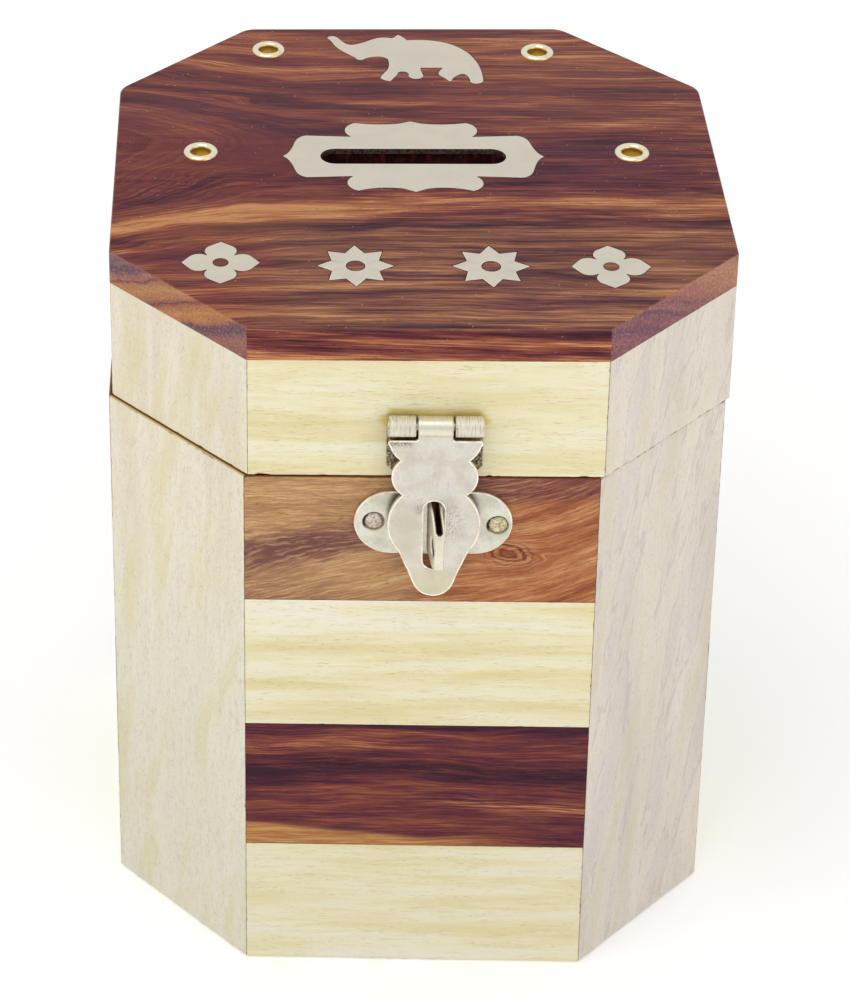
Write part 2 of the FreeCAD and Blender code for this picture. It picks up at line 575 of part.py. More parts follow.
def hinge_leaf(x, up):
    """One leaf of a back hinge. The lid's leaf (up = 1) has the middle knuckle, the case's the outer two."""
    middle = HINGE_MIDDLE_KNUCKLE / 2
    outer = middle + HINGE_KNUCKLE_GAP
    spans = [(-middle, middle)] if up > 0 else [(-HINGE_HALF_WIDTH, -outer), (outer, HINGE_HALF_WIDTH)]
    spans = [(x + low, x + high) for low, high in spans]
    rings, bore = knuckles(spans, HINGE_KNUCKLE_RADIUS, HINGE_PIN_Y, HINGE_Z)
    near = HINGE_KNUCKLE_RADIUS + 0.5

    def z_span(start, end):
        return tuple(sorted((HINGE_Z + up * start, HINGE_Z + up * end)))

    across = (x - HINGE_HALF_WIDTH, x + HINGE_HALF_WIDTH)
    leaf = box(across, (BACK_Y, BACK_Y + SHEET), z_span(near, HINGE_LEAF_HEIGHT))
    far_z = HINGE_Z + up * HINGE_LEAF_HEIGHT
    through = [e for e in leaf.Edges if e.BoundBox.YLength > SHEET / 2]
    corners = [e for e in through if abs(e.BoundBox.ZMin - far_z) < 1e-6]
    leaf = leaf.makeFillet(HINGE_CORNER_RADIUS, corners)
    for low, high in spans:
        leaf = leaf.fuse(box((low, high), (BACK_Y, BACK_Y + SHEET), z_span(0, near)))
    leaf = leaf.fuse(rings).cut(bore)
    for side in (-1, 1):
        z = HINGE_Z + up * HINGE_NAIL_FROM_PIN
        leaf = leaf.cut(nail_hole(x + side * HINGE_NAIL_X, z, BACK_Y, 1, SHEET))
    return leaf.removeSplitter()


def add_hinges(nodes):
    for side_name, x in (("left", -HINGE_X), ("right", HINGE_X)):
        nodes[f"hinge_{side_name}_case_leaf"] = hinge_leaf(x, -1)
        nodes[f"hinge_{side_name}_lid_leaf"] = hinge_leaf(x, 1)
        nodes[f"hinge_{side_name}_pin"] = rod(PIN_RADIUS, x - HINGE_HALF_WIDTH, x + HINGE_HALF_WIDTH,
                                              HINGE_PIN_Y, HINGE_Z)
    columns = [x + side * HINGE_NAIL_X for x in (-HINGE_X, HINGE_X) for side in (-1, 1)]
    groups = ("hinge_case_nails", "back_strip_1", -1), ("hinge_lid_nails", "lid_back_rail", 1)
    for name, board, up in groups:
        places = [(x, HINGE_Z + up * HINGE_NAIL_FROM_PIN) for x in columns]
        drive_nails(nodes, name, board, places, BACK_Y, SHEET, 1)


# ---------------------------------------------------------------- build

def build():
    nodes = case_wood()
    nodes.update(lid_wood())
    add_inlays(nodes)
    add_eyelets(nodes)
    add_hasp(nodes)
    add_hinges(nodes)
    return nodes


def write(nodes):
    os.makedirs("parts", exist_ok=True)
    for name, shape in nodes.items():
        shape.exportStep(f"parts/{name}.step")


write(build())
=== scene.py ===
"""Looks of the octagonal wooden money box: worn boards, inlay filler, materials, floor, light and camera."""

import json
import math

import bmesh
import bpy
from mathutils import Matrix, Vector, noise

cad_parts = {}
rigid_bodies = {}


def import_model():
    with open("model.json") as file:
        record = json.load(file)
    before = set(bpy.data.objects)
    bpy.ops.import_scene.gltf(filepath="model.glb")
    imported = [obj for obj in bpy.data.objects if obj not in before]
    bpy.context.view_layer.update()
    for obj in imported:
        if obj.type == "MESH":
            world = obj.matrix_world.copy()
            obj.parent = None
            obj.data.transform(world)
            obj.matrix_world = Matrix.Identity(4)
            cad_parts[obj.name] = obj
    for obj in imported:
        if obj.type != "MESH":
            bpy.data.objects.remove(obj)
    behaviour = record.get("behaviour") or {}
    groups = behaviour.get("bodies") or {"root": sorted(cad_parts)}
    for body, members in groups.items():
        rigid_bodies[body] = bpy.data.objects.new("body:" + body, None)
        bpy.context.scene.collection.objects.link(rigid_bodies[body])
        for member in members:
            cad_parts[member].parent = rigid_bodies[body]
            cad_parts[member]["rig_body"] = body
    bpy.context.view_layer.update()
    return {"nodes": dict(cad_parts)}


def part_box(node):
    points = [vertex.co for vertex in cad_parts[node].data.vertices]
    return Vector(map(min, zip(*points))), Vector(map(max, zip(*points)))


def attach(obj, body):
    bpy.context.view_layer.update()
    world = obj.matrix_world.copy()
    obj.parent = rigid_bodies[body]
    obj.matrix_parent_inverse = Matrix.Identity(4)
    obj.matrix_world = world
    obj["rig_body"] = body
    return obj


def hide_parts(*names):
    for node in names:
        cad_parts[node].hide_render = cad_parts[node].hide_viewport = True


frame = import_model()

MM = 0.001

# ---- The box, from the frame ----
CORNER_CUT = 22.5 * MM  # leg of each 45 degree corner of the octagon
CASE_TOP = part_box("corner_front_left")[1].z
HALF_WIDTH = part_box("right_strip_2")[1].x
HALF_DEPTH = -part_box("front_strip_2")[0].y
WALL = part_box("front_strip_2")[1].y + HALF_DEPTH
LID_SHIFT = (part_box("lid_plate")[0].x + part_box("lid_plate")[1].x) / 2
PLATE_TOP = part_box("slot_plate")[1].z
NAIL_RADIUS = 1.55 * MM  # heads of the two nails, the left one a little higher
NAIL_LOW, NAIL_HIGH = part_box("staple_nails")
NAIL_PLACES = ((NAIL_LOW.x + NAIL_RADIUS, NAIL_HIGH.z - NAIL_RADIUS),
               (NAIL_HIGH.x - NAIL_RADIUS, NAIL_LOW.z + NAIL_RADIUS))
LOOP_LEAN = 0.105  # how far the staple's loop leans over, as a slope
BARREL_Z = (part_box("hasp_pin")[0].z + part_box("hasp_pin")[1].z) / 2 / MM
HASP_X = (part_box("hasp_flap")[0].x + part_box("hasp_flap")[1].x) / 2 / MM
SLOT_X = (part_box("slot_plate")[0].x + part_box("slot_plate")[1].x) / 2 / MM
SLOT_Y = 3.5  # the coin slot's middle, in millimetres
CORNER_START = (HALF_WIDTH - HALF_DEPTH + CORNER_CUT) / MM
MITRE = math.tan(math.radians(22.5))  # how fast a mitred board narrows with depth

# ---- Wear of the boards' edges: (sanding radius, its reach from the edge, base groove, size of chips) ----
REACH_45 = MITRE  # reach of a radius round a 45 degree turn
FRONT_MITRE = (1.0 * MM, 1.0 * MM * REACH_45, 0.07 * MM, 0.14 * MM)
BACK_MITRE = (4.0 * MM, 4.0 * MM * REACH_45, 0.07 * MM, 0.12 * MM)
STRIP_JOINT = (0.0, 0.0, 0.06 * MM, 0.08 * MM)
SAW_CUT = (0.12 * MM, 0.12 * MM, 0.08 * MM, 0.27 * MM)
PLATE_JOINT = (0.0, 0.0, 0.05 * MM, 0.05 * MM)
FOOT = (0.9 * MM, 0.9 * MM, 0.0, 0.25 * MM)

EDGE_STEP = 0.08 * MM  # mesh spacing at a board's edges
GROWTH = 1.5  # each step inwards is this much longer
FACE_STEP = 0.7 * MM  # up to this
SWELL = 0.03 * MM  # how far a board's face is from flat


# ---------------------------------------------------------------- meshes

def new_object(name, verts, faces, body):
    mesh = bpy.data.meshes.new(name)
    mesh.from_pydata(verts, [], faces)
    obj = bpy.data.objects.new(name, mesh)
    bpy.context.scene.collection.objects.link(obj)
    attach(obj, body)
    return obj


def shade(mesh, sharp_angle=40):
    """Outward normals, smooth shading, and hard edges where two faces meet at more than the angle."""
    work = bmesh.new()
    work.from_mesh(mesh)
    bmesh.ops.recalc_face_normals(work, faces=work.faces)
    limit = math.radians(sharp_angle)
    for edge in work.edges:
        edge.smooth = len(edge.link_faces) == 2 and edge.calc_face_angle() < limit
    for face in work.faces:
        face.smooth = True
    work.to_mesh(mesh)
    work.free()


def spaced(length):
    """Positions from 0 to length, close together at both ends."""
    near, at, step = [], 0.0, EDGE_STEP
    while step < FACE_STEP:
        near.append(at)
        at += step
        step *= GROWTH
    count = max(1, round((length - 2 * at) / FACE_STEP))
    middle = [at + (length - 2 * at) * i / count for i in range(count + 1)]
    return near + middle + [length - d for d in reversed(near)]


def bite(place, seed, amount):
    """How far chips reach in from an edge at that place along it: little, with a few larger bites."""
    fine = noise.noise(Vector((place / MM * 1.9, seed * 7.7, 0.3)))
    coarse = noise.noise(Vector((place / MM * 0.31, seed * 3.1, 5.9)))
    return amount * (0.2 + 0.2 * fine + 2.4 * max(0.0, 0.6 * fine + 0.8 * coarse - 0.2))


def edge_wear(distance, place, wear, seed):
    """(depth of the surface, dirt) at a distance from an edge with that wear."""
    radius, reach, groove, chips = wear
    depth = 0.0
    if distance < reach:
        depth = radius - math.sqrt(max(0.0, radius ** 2 - (reach - distance) ** 2))
    width = groove + bite(place, seed, chips)
    worn = max(0.0, 1 - distance / width)
    return depth + 0.8 * width * worn ** 2, max(0.0, 1 - distance / (1.5 * width))


def board(node, start, end, z_low, z_high, wear, seed):
    """A mitred board that stands for a CAD node: the outer face from start to end (x, y) is a fine mesh
    with rounded, chipped and dirty edges; wear holds one wear for each edge: left, right, low, high."""
    length, height = (end - start).length, z_high - z_low
    along = (end - start) / length
    inwards = Vector((-along.y, along.x))
    columns, rows = spaced(length), spaced(height)
    verts, dirt = [], []
    for v in rows:
        for u in columns:
            edges = ((u, v, "left"), (length - u, v, "right"), (v, u, "low"), (height - v, u, "high"))
            worn = [edge_wear(distance, place, wear[name], seed + 0.37 * i)
                    for i, (distance, place, name) in enumerate(edges)]
            swell = SWELL * noise.noise(Vector((u / MM * 0.07, v / MM * 0.07, seed)))
            depth = max(0.0, max(d for d, _ in worn) + swell + SWELL / 2)
            u = min(max(u, depth * MITRE), length - depth * MITRE)
            point = start + along * u + inwards * depth
            verts.append((point.x, point.y, z_low + v))
            dirt.append(max(d for _, d in worn))

    wide, tall = len(columns), len(rows)
    faces = [(at, at + 1, at + wide + 1, at + wide)
             for r in range(tall - 1) for at in range(r * wide, r * wide + wide - 1)]
    rim = list(range(wide))
    rim += [r * wide + wide - 1 for r in range(1, tall)]
    rim += [(tall - 1) * wide + c for c in range(wide - 2, -1, -1)]
    rim += [r * wide for r in range(tall - 2, 0, -1)]
    inner = len(verts)
    narrowed = length - 2 * WALL * MITRE
    for at in rim:
        u = WALL * MITRE + narrowed * columns[at % wide] / length
        point = start + along * u + inwards * WALL
        verts.append((point.x, point.y, verts[at][2]))
        dirt.append(0.0)
    for i, at in enumerate(rim):
        j = (i + 1) % len(rim)
        faces.append((at, inner + i, inner + j, rim[j]))
    faces.append(tuple(range(inner, inner + len(rim))))

    piece = new_object(node + "_board", verts, faces, frame["nodes"][node]["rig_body"])
    shade(piece.data)
    piece.data.attributes.new("dirt", "FLOAT", "POINT").data.foreach_set("value", dirt)
    local = []
    for x, y, z in verts:
        offset = Vector((x, y)) - start
        local += [offset.dot(along) / MM, z / MM, offset.dot(inwards) / MM]
    piece.data.attributes.new("local", "FLOAT_VECTOR", "POINT").data.foreach_set("vector", local)
    piece["seed"] = float(seed)
    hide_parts(node)
    return piece


SIDES = ("front", "corner_front_right", "right", "corner_back_right",
         "back", "corner_back_left", "left", "corner_front_left")


def octagon(shift):
    """Corner points of the octagon, anticlockwise, starting at the left end of the front wall."""
    w, d, c = HALF_WIDTH, HALF_DEPTH, CORNER_CUT
    points = [(-w + c, -d), (w - c, -d), (w, -d + c), (w, d - c),
              (w - c, d), (-w + c, d), (-w, d - c), (-w, -d + c)]
    return [Vector((x + shift, y)) for x, y in points]


def make_boards():
    """Every upright board of case and lid."""
    boards = {}
    for i, side in enumerate(SIDES):
        j = (i + 1) % 8
        ends = {"left": BACK_MITRE if 3 <= i <= 6 else FRONT_MITRE,
                "right": BACK_MITRE if 2 <= i <= 5 else FRONT_MITRE}
        case_line = octagon(0.0)[i], octagon(0.0)[j]
        lid_line = octagon(LID_SHIFT)[i], octagon(LID_SHIFT)[j]
        if side.startswith("corner"):
            case_nodes, lid_node = [side], "lid_" + side
        else:
            case_nodes, lid_node = [f"{side}_strip_{n}" for n in (1, 2, 3, 4)], f"lid_{side}_rail"
        for k, node in enumerate(case_nodes):
            low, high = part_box(node)[0].z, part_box(node)[1].z
            wear = dict(ends, low=FOOT if low < MM else STRIP_JOINT, high=STRIP_JOINT if k else SAW_CUT)
            boards[node] = board(node, *case_line, low, high, wear, 1 + i + 0.13 * k)
        low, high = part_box(lid_node)[0].z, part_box(lid_node)[1].z
        wear = dict(ends, low=SAW_CUT, high=PLATE_JOINT)
        boards[lid_node] = board(lid_node, *lid_line, low, high, wear, 20 + i)
    return boards


# ---------------------------------------------------------------- filler round the inlays

FILLER_LOW = 0.5 * MM  # how deep the filler reaches
FILLER_PROUD = 0.012 * MM


def top_outlines(node):
    """Closed outlines, as lists of (x, y), of a CAD node's flat top face."""
    mesh = frame["nodes"][node].data
    top = max(v.co.z for v in mesh.vertices)
    used = {}
    for polygon in mesh.polygons:
        corners = [mesh.vertices[i].co for i in polygon.vertices]
        if all(c.z > top - 1e-6 for c in corners):
            keys = [(round(c.x, 7), round(c.y, 7)) for c in corners]
            for a, b in zip(keys, keys[1:] + keys[:1]):
                used[(a, b)] = True
    following = {a: b for a, b in used if (b, a) not in used}
    outlines = []
    while following:
        first, at = next(iter(following.items()))
        outline = [first]
        following.pop(first)
        while at != first:
            outline.append(at)
            at = following.pop(at)
        outlines.append(outline)
    return outlines


def resampled(outline, step):
    """The closed outline as points about a step apart, keeping its corners."""
    points = []
    for a, b in zip(outline, outline[1:] + outline[:1]):
        a, b = Vector(a), Vector(b)
        count = max(1, round((b - a).length / step))
        points += [a + (b - a) * i / count for i in range(count)]
    return points


def filler(node, seed, width, rough):
    """Dark filler round a metal inlay: a thin ring along each outline, ragged where it meets the wood."""
    verts, faces = [], []
    outlines = top_outlines(node)
    if node == "slot_plate":                            # nothing beds the coin slot itself
        outlines = [max(outlines, key=lambda points: max(x for x, _ in points))]
    for outline in outlines:
        points = resampled(outline, 0.3 * MM)
        base, count = len(verts), len(points)
        for i, point in enumerate(points):
            tangent = (points[(i + 1) % count] - points[i - 1]).normalized()
            outwards = Vector((tangent.y, -tangent.x))
            ragged = noise.noise(Vector((point.x / MM * 0.9, point.y / MM * 0.9, seed)))
            ragged += 0.6 * noise.noise(Vector((point.x / MM * 3.1, point.y / MM * 3.1, seed)))
            near = point + outwards * 0.005 * MM
            far = point + outwards * (width + rough * max(-0.5, ragged))
            low, high = PLATE_TOP - FILLER_LOW, PLATE_TOP + FILLER_PROUD
            verts += [(*near, low), (*near, high), (*far, high), (*far, low)]
        for i in range(count):
            at, on = base + 4 * i, base + 4 * ((i + 1) % count)
            faces += [(at + k, on + k, on + (k + 1) % 4, at + (k + 1) % 4) for k in range(4)]
    ring = new_object(node + "_filler", verts, faces, "lid")
    shade(ring.data)
    return ring


# ---------------------------------------------------------------- node trees

class Value:
    """A node's output that can be used in sums with numbers and other values, as math nodes."""

    def __init__(self, tree, socket):
        self.tree, self.socket = tree, socket

    def __add__(self, other):
        return self.tree.math("ADD", self, other)

    def __radd__(self, other):
        return self.tree.math("ADD", other, self)

    def __sub__(self, other):
        return self.tree.math("SUBTRACT", self, other)

    def __rsub__(self, other):
        return self.tree.math("SUBTRACT", other, self)

    def __mul__(self, other):
        return self.tree.math("MULTIPLY", self, other)

    def __rmul__(self, other):
        return self.tree.math("MULTIPLY", other, self)

    def __pow__(self, other):
        return self.tree.math("POWER", self, other)

    def __abs__(self):
        return self.tree.math("ABSOLUTE", self)


class Tree:
    """Short-hand for building a material's node tree from values, plain numbers and 0-255 colours."""

    def __init__(self, name):
        self.material = bpy.data.materials.new(name)
        self.material.use_nodes = True
        self.nodes = self.material.node_tree.nodes
        self.links = self.material.node_tree.links
        self.nodes.clear()
        self.shader = self.nodes.new("ShaderNodeBsdfPrincipled")
        output = self.nodes.new("ShaderNodeOutputMaterial")
        self.links.new(self.shader.outputs[0], output.inputs["Surface"])

    def put(self, socket, value):
        if isinstance(value, Value):
            self.links.new(value.socket, socket)
        elif value is not None:
            socket.default_value = value

    def new(self, kind, inputs=(), output=0, **settings):
        """An output of a new node; its inputs are given in order, or by name in a dictionary."""
        node = self.nodes.new("ShaderNode" + kind)
        for name, setting in settings.items():
            setattr(node, name, setting)
        for key, value in inputs.items() if isinstance(inputs, dict) else enumerate(inputs):
            self.put(node.inputs[key], value)
        return Value(self, node.outputs[output])

    def finish(self, **inputs):
        """Connects the shader's inputs, named with underscores for spaces, and returns the material."""
        for name, value in inputs.items():
            self.put(self.shader.inputs[name.replace("_", " ")], value)
        return self.material

    def math(self, operation, a, b=None, clamp=False):
        return self.new("Math", (a, b), operation=operation, use_clamp=clamp)

    def max(self, a, b):
        return self.math("MAXIMUM", a, b)

    def length(self, a, b):
        return self.math("SQRT", a * a + b * b)

    def remap(self, value, low, high, to=1.0, start=0.0):
        """From start to another number, smoothly, while the value goes from low to high."""
        return self.new("MapRange", (value, low, high, start, to), interpolation_type="SMOOTHSTEP")

    def mix(self, share, a, b, blend="MIX"):
        inputs = {"Factor": share, "A": rgba(a), "B": rgba(b)}
        return self.new("Mix", inputs, "Result", data_type="RGBA", blend_type=blend)

    def ramp(self, value, *stops):
        """Colour ramp; each stop is (position, red, green, blue)."""
        node = self.nodes.new("ShaderNodeValToRGB")
        elements = node.color_ramp.elements
        while len(elements) < len(stops):
            elements.new(1.0)
        for element, (position, *colour) in zip(elements, stops):
            element.position = position
            element.color = rgba(colour)
        self.put(node.inputs[0], value)
        return Value(self, node.outputs[0])

    def values(self, value, *stops):
        """The number that goes with a value, eased between stops of (value, number from 0 to 1)."""
        node = self.nodes.new("ShaderNodeFloatCurve")
        points = node.mapping.curves[0].points
        while len(points) < len(stops):
            points.new(0.5, 0.5)
        for point, stop in zip(points, stops):
            point.location = stop
        node.mapping.update()
        self.put(node.inputs["Value"], value)
        return Value(self, node.outputs[0])

    def normal(self):
        return self.new("NewGeometry", output="True Normal")

    def vector(self, x, y, z):
        return self.new("CombineXYZ", (x, y, z))

    def axes(self, vector):
        node = self.nodes.new("ShaderNodeSeparateXYZ")
        self.put(node.inputs[0], vector)
        return [Value(self, output) for output in node.outputs]

    def scaled(self, vector, x, y, z):
        return self.new("Mapping", {"Vector": vector, "Scale": (x, y, z)})

    def noise(self, vector, scale=1.0, detail=3.0, rough=0.55, distortion=0.0):
        return self.new("TexNoise", {"Vector": vector, "Scale": scale, "Detail": detail, "Roughness": rough,
                                     "Distortion": distortion})

    def voronoi(self, vector):
        return self.new("TexVoronoi", {"Vector": vector, "Scale": 1.0}, "Distance")

    def bump(self, height, distance, strength):
        return self.new("Bump", {"Height": height, "Distance": distance, "Strength": strength})

    def attribute(self, name, kind="GEOMETRY", output="Fac"):
        return self.new("Attribute", output=output, attribute_name=name, attribute_type=kind)

    def of_piece(self, name):
        """A property of the object."""
        return self.attribute(name, "OBJECT")

    def local(self):
        """Place on a board in millimetres: along, up and depth below its outer face."""
        return self.axes(self.attribute("local", output="Vector"))

    def position(self):
        """Place in the box's frame, in millimetres, moving with the piece."""
        return self.scaled(self.new("TexCoord", output="Object"), 1 / MM, 1 / MM, 1 / MM)


def rgba(colour):
    """An sRGB colour of three 0-255 numbers as linear RGBA; values pass through."""
    if isinstance(colour, Value):
        return colour
    linear = [(c / 255 / 12.92) if c <= 10 else ((c / 255 + 0.055) / 1.055) ** 2.4 for c in colour]
    return (*linear, 1.0)


# ---------------------------------------------------------------- wood

def grain_space(t, vertical=False):
    """Sockets (along, across, depth) in millimetres of a board's grain, different on every board."""
    u, z, depth = t.local()
    depth += t.of_piece("seed") * 61.0
    return (z, u, depth) if vertical else (u, z, depth)


def streaks(t, grain, length, width, detail=3.0, rough=0.55, shift=0.0):
    """Noise drawn out along the grain. length and width are a streak's typical size in millimetres."""
    g, a, b = grain
    place = t.vector(g * (1 / length), a * (1 / width), b * (1 / width) + shift)
    return t.noise(place, 1.0, detail, rough)


def bent(t, grain, amount, length=45.0, width=30.0, shift=0.0):
    """The grain, wandering sideways by up to the amount."""
    g, a, b = grain
    wander = (streaks(t, grain, length, width, 2.0, 0.5, shift) - 0.5) * (2 * amount)
    return (g, a + wander, b)


def pores(t, grain, length, width, share):
    """1 in short open pores, 0 between them. share is roughly how many of the possible pores are there."""
    g, a, b = grain
    place = t.vector(g * (1 / length), a * (1 / width), b * (1 / width))
    spots = t.remap(t.voronoi(place), 0.28, 0.12)
    gathered = streaks(t, grain, length * 4, width * 6, 2.0, 0.6, 9.0)
    there = t.remap(gathered, 0.62 - share * 0.3, 0.68 - share * 0.3)
    return spots * there


def soiled(t, colour, dark):
    """Dirt and old glue along a board's edges."""
    dirt = t.attribute("dirt")
    patchy = t.noise(t.position(), 0.9, 3.0, 0.6)
    return t.mix(t.remap(dirt + (patchy - 0.5) * 0.5, 0.25, 0.85), colour, dark)


FIBRE_RELIEF = 0.03 * MM


def wood(t, colour, fibre, pore, roughness=0.5, sheen=0.25, sawn=(112, 66, 36)):
    """Satin lacquered wood with its fibres and pores standing out slightly, greyed by painted shade towards
    the foot. The level faces at the saw gap have the sawn colour and a painted glow in it, dark only deep
    in."""
    height = fibre * 0.5 - pore
    rough = t.noise(t.position(), 0.35, 3.0, 0.6) * 0.16 + (roughness - 0.08)
    # Painted shade: the colour is greyed towards the foot, to hold back light bounced up from the floor.
    low = t.remap(t.axes(t.position())[2], 95.0, 10.0)
    colour = t.mix(low, colour, (242, 242, 243), "MULTIPLY")
    level = t.remap(abs(t.axes(t.normal())[2]), 0.7, 0.9)
    at_gap = band(t, t.axes(t.position())[2], CASE_TOP / MM, 3.0)
    deep = t.remap(t.local()[2], 0.15, 0.5)
    # Painted light: the level faces in the saw gap glow in the sawn colour, less and less deeper in.
    painted_glow = level * at_gap * (0.42 - deep * 0.38)
    colour = t.mix(level * at_gap * (1.0 - deep), colour, sawn)
    return t.finish(Base_Color=colour, Roughness=rough, Normal=t.bump(height, FIBRE_RELIEF, 0.8),
                    Specular_IOR_Level=sheen, Coat_Weight=0.02, Coat_Roughness=0.4,
                    Emission_Color=rgba(sawn), Emission_Strength=painted_glow)


def dashes(t, grain, length, width, low=0.60, high=0.70, shift=0.0):
    """1 on short fine strokes along the grain, gathered in patches."""
    strokes = t.remap(streaks(t, grain, length, width, 2.0, 0.5, shift), low, high)
    gathered = streaks(t, grain, length * 5, width * 14, 2.0, 0.5, shift + 3.0)
    return strokes * t.remap(gathered, 0.36, 0.62, 1.0, start=0.25)


def pale_wood():
    """Cream strips and rails: level whitish and yellowish bands, fine brownish strokes."""
    t = Tree("pale_wood")
    grain = bent(t, grain_space(t), 1.3, 30.0, 14.0)
    broad = streaks(t, grain, 42.0, 4.2, 3.0, 0.55)
    middle = streaks(t, grain, 9.0, 0.8, 4.0, 0.62, 13.0)
    fibre = streaks(t, grain, 4.0, 0.16, 3.0, 0.65, 4.0)
    colour = t.ramp(broad, (0.3, 230, 215, 162), (0.42, 236, 224, 178), (0.52, 241, 232, 194),
                           (0.62, 242, 235, 208), (0.74, 244, 238, 218))
    colour = t.mix(t.remap(middle, 0.5, 0.72, 0.42), colour, (226, 208, 158))
    colour = t.mix(t.remap(middle, 0.46, 0.3, 0.35), colour, (248, 243, 224))
    colour = t.mix(t.remap(fibre, 0.5, 0.8, 0.25), colour, (210, 188, 138))
    stroke = dashes(t, grain, 2.0, 0.17)
    colour = t.mix(stroke * 0.5, colour, (192, 160, 108))
    pore = pores(t, grain, 1.5, 0.2, 0.3)
    colour = t.mix(pore * 0.35, colour, (176, 146, 98))
    # A ragged yellow band on the wood at the height of the hasp's barrel, fading out past the barrel's ends.
    x, y, z = t.axes(t.position())
    beside = t.max(abs(x - HASP_X) - 6.9, 0.0)
    above = z - (BARREL_Z + (middle - 0.5) * 2.5)
    tint = t.remap(abs(above) + beside, 2.7, 1.3) * t.remap(y, -40.0, -49.0)
    colour = t.mix(tint * 0.85, colour, (222, 200, 92))
    colour = t.mix(1.0, colour, (249, 250, 252), "MULTIPLY")
    return wood(t, soiled(t, colour, (128, 84, 42)), fibre, stroke * 0.5 + pore)


def corner_wood():
    """Upright corner boards, some greyer and pinker, with soft slanting marbling and many small pores."""
    t = Tree("corner_wood")
    grain = bent(t, grain_space(t, vertical=True), 2.2, 50.0, 16.0)
    g, a, b = grain
    slanted = (g, a + g * -0.22, b)
    tone = t.of_piece("pink")
    broad = streaks(t, grain, 55.0, 7.0, 3.0, 0.55)
    marbling = streaks(t, slanted, 34.0, 5.0, 4.0, 0.55, 31.0)
    fibre = streaks(t, grain, 7.0, 0.35, 3.0, 0.65, 4.0)
    beige = t.ramp(broad, (0.3, 228, 216, 182), (0.45, 235, 226, 206), (0.6, 224, 212, 184),
                          (0.75, 236, 229, 212))
    greyer = t.ramp(broad, (0.3, 214, 204, 191), (0.5, 223, 213, 200), (0.75, 230, 222, 210))
    lower = t.remap(t.axes(t.position())[2], 95.0, 40.0) * 0.6
    colour = t.mix(tone, t.mix(lower, beige, (231, 230, 208)), greyer)
    veins = band(t, marbling, 0.455, 0.022) * (tone * 0.26 + 0.04)
    colour = t.mix(veins, colour, (166, 154, 152))
    colour = t.mix(t.remap(marbling, 0.46, 0.36) * (tone * 0.3), colour, (202, 192, 196))
    colour = t.mix(t.remap(marbling, 0.54, 0.68) * (tone * 0.1 + 0.16), colour, (206, 192, 168))
    colour = t.mix(t.remap(fibre, 0.52, 0.76, 0.26), colour, (192, 176, 144))
    speckle = streaks(t, grain, 1.1, 0.45, 3.0, 0.6, 53.0)
    colour = t.mix(t.remap(speckle, 0.52, 0.7, 0.3), colour, (188, 174, 144))
    yellowish = t.remap(marbling, 0.5, 0.66) * (0.56 - tone * 0.42)
    colour = t.mix(yellowish, colour, (222, 212, 164))
    pore = pores(t, grain, 0.85, 0.22, 0.55)
    colour = t.mix(pore * 0.52, colour, (160, 142, 118))
    return wood(t, soiled(t, colour, (122, 80, 44)), fibre, pore, sawn=(178, 162, 108))


def rosewood_colour(t, figure, fibre, pore, olive=None):
    """From blackish purple lines to golden streaks as figure goes from 0 to 1, browner where olive is 1."""
    colour = t.ramp(figure, (0.02, 52, 20, 34), (0.2, 84, 34, 44), (0.38, 112, 50, 50),
                            (0.55, 136, 74, 56), (0.72, 168, 102, 68), (0.92, 204, 146, 98))
    if olive is not None:
        browner = t.ramp(figure, (0.02, 54, 28, 38), (0.2, 84, 44, 50), (0.38, 112, 64, 58),
                                 (0.55, 136, 87, 67), (0.72, 164, 110, 76), (0.92, 196, 146, 104))
        colour = t.mix(olive, colour, browner)
    colour = t.mix(t.remap(fibre, 0.5, 0.76, 0.3), colour, (40, 16, 22))
    colour = t.mix(t.remap(fibre, 0.46, 0.24, 0.16), colour, (220, 150, 108))
    return t.mix(pore * 0.6, colour, (44, 20, 22))


def band(t, value, centre, half):
    """1 at the centre, falling smoothly to 0 at half on both sides."""
    return t.remap(abs(value - centre), half, 0.0)


def spot(t, x, y, centre, size):
    """1 at a centre, falling smoothly to 0 on an ellipse of that half width and half height."""
    across = (x - centre[0]) * (1 / size[0])
    up = (y - centre[1]) * (1 / size[1])
    return t.remap(t.length(across, up), 1.0, 0.1)


PITH_Y = 3.0                                            # the plate's pith, in millimetres
PITH_DEPTH = 22.5
WIDEST_RING = 56.0


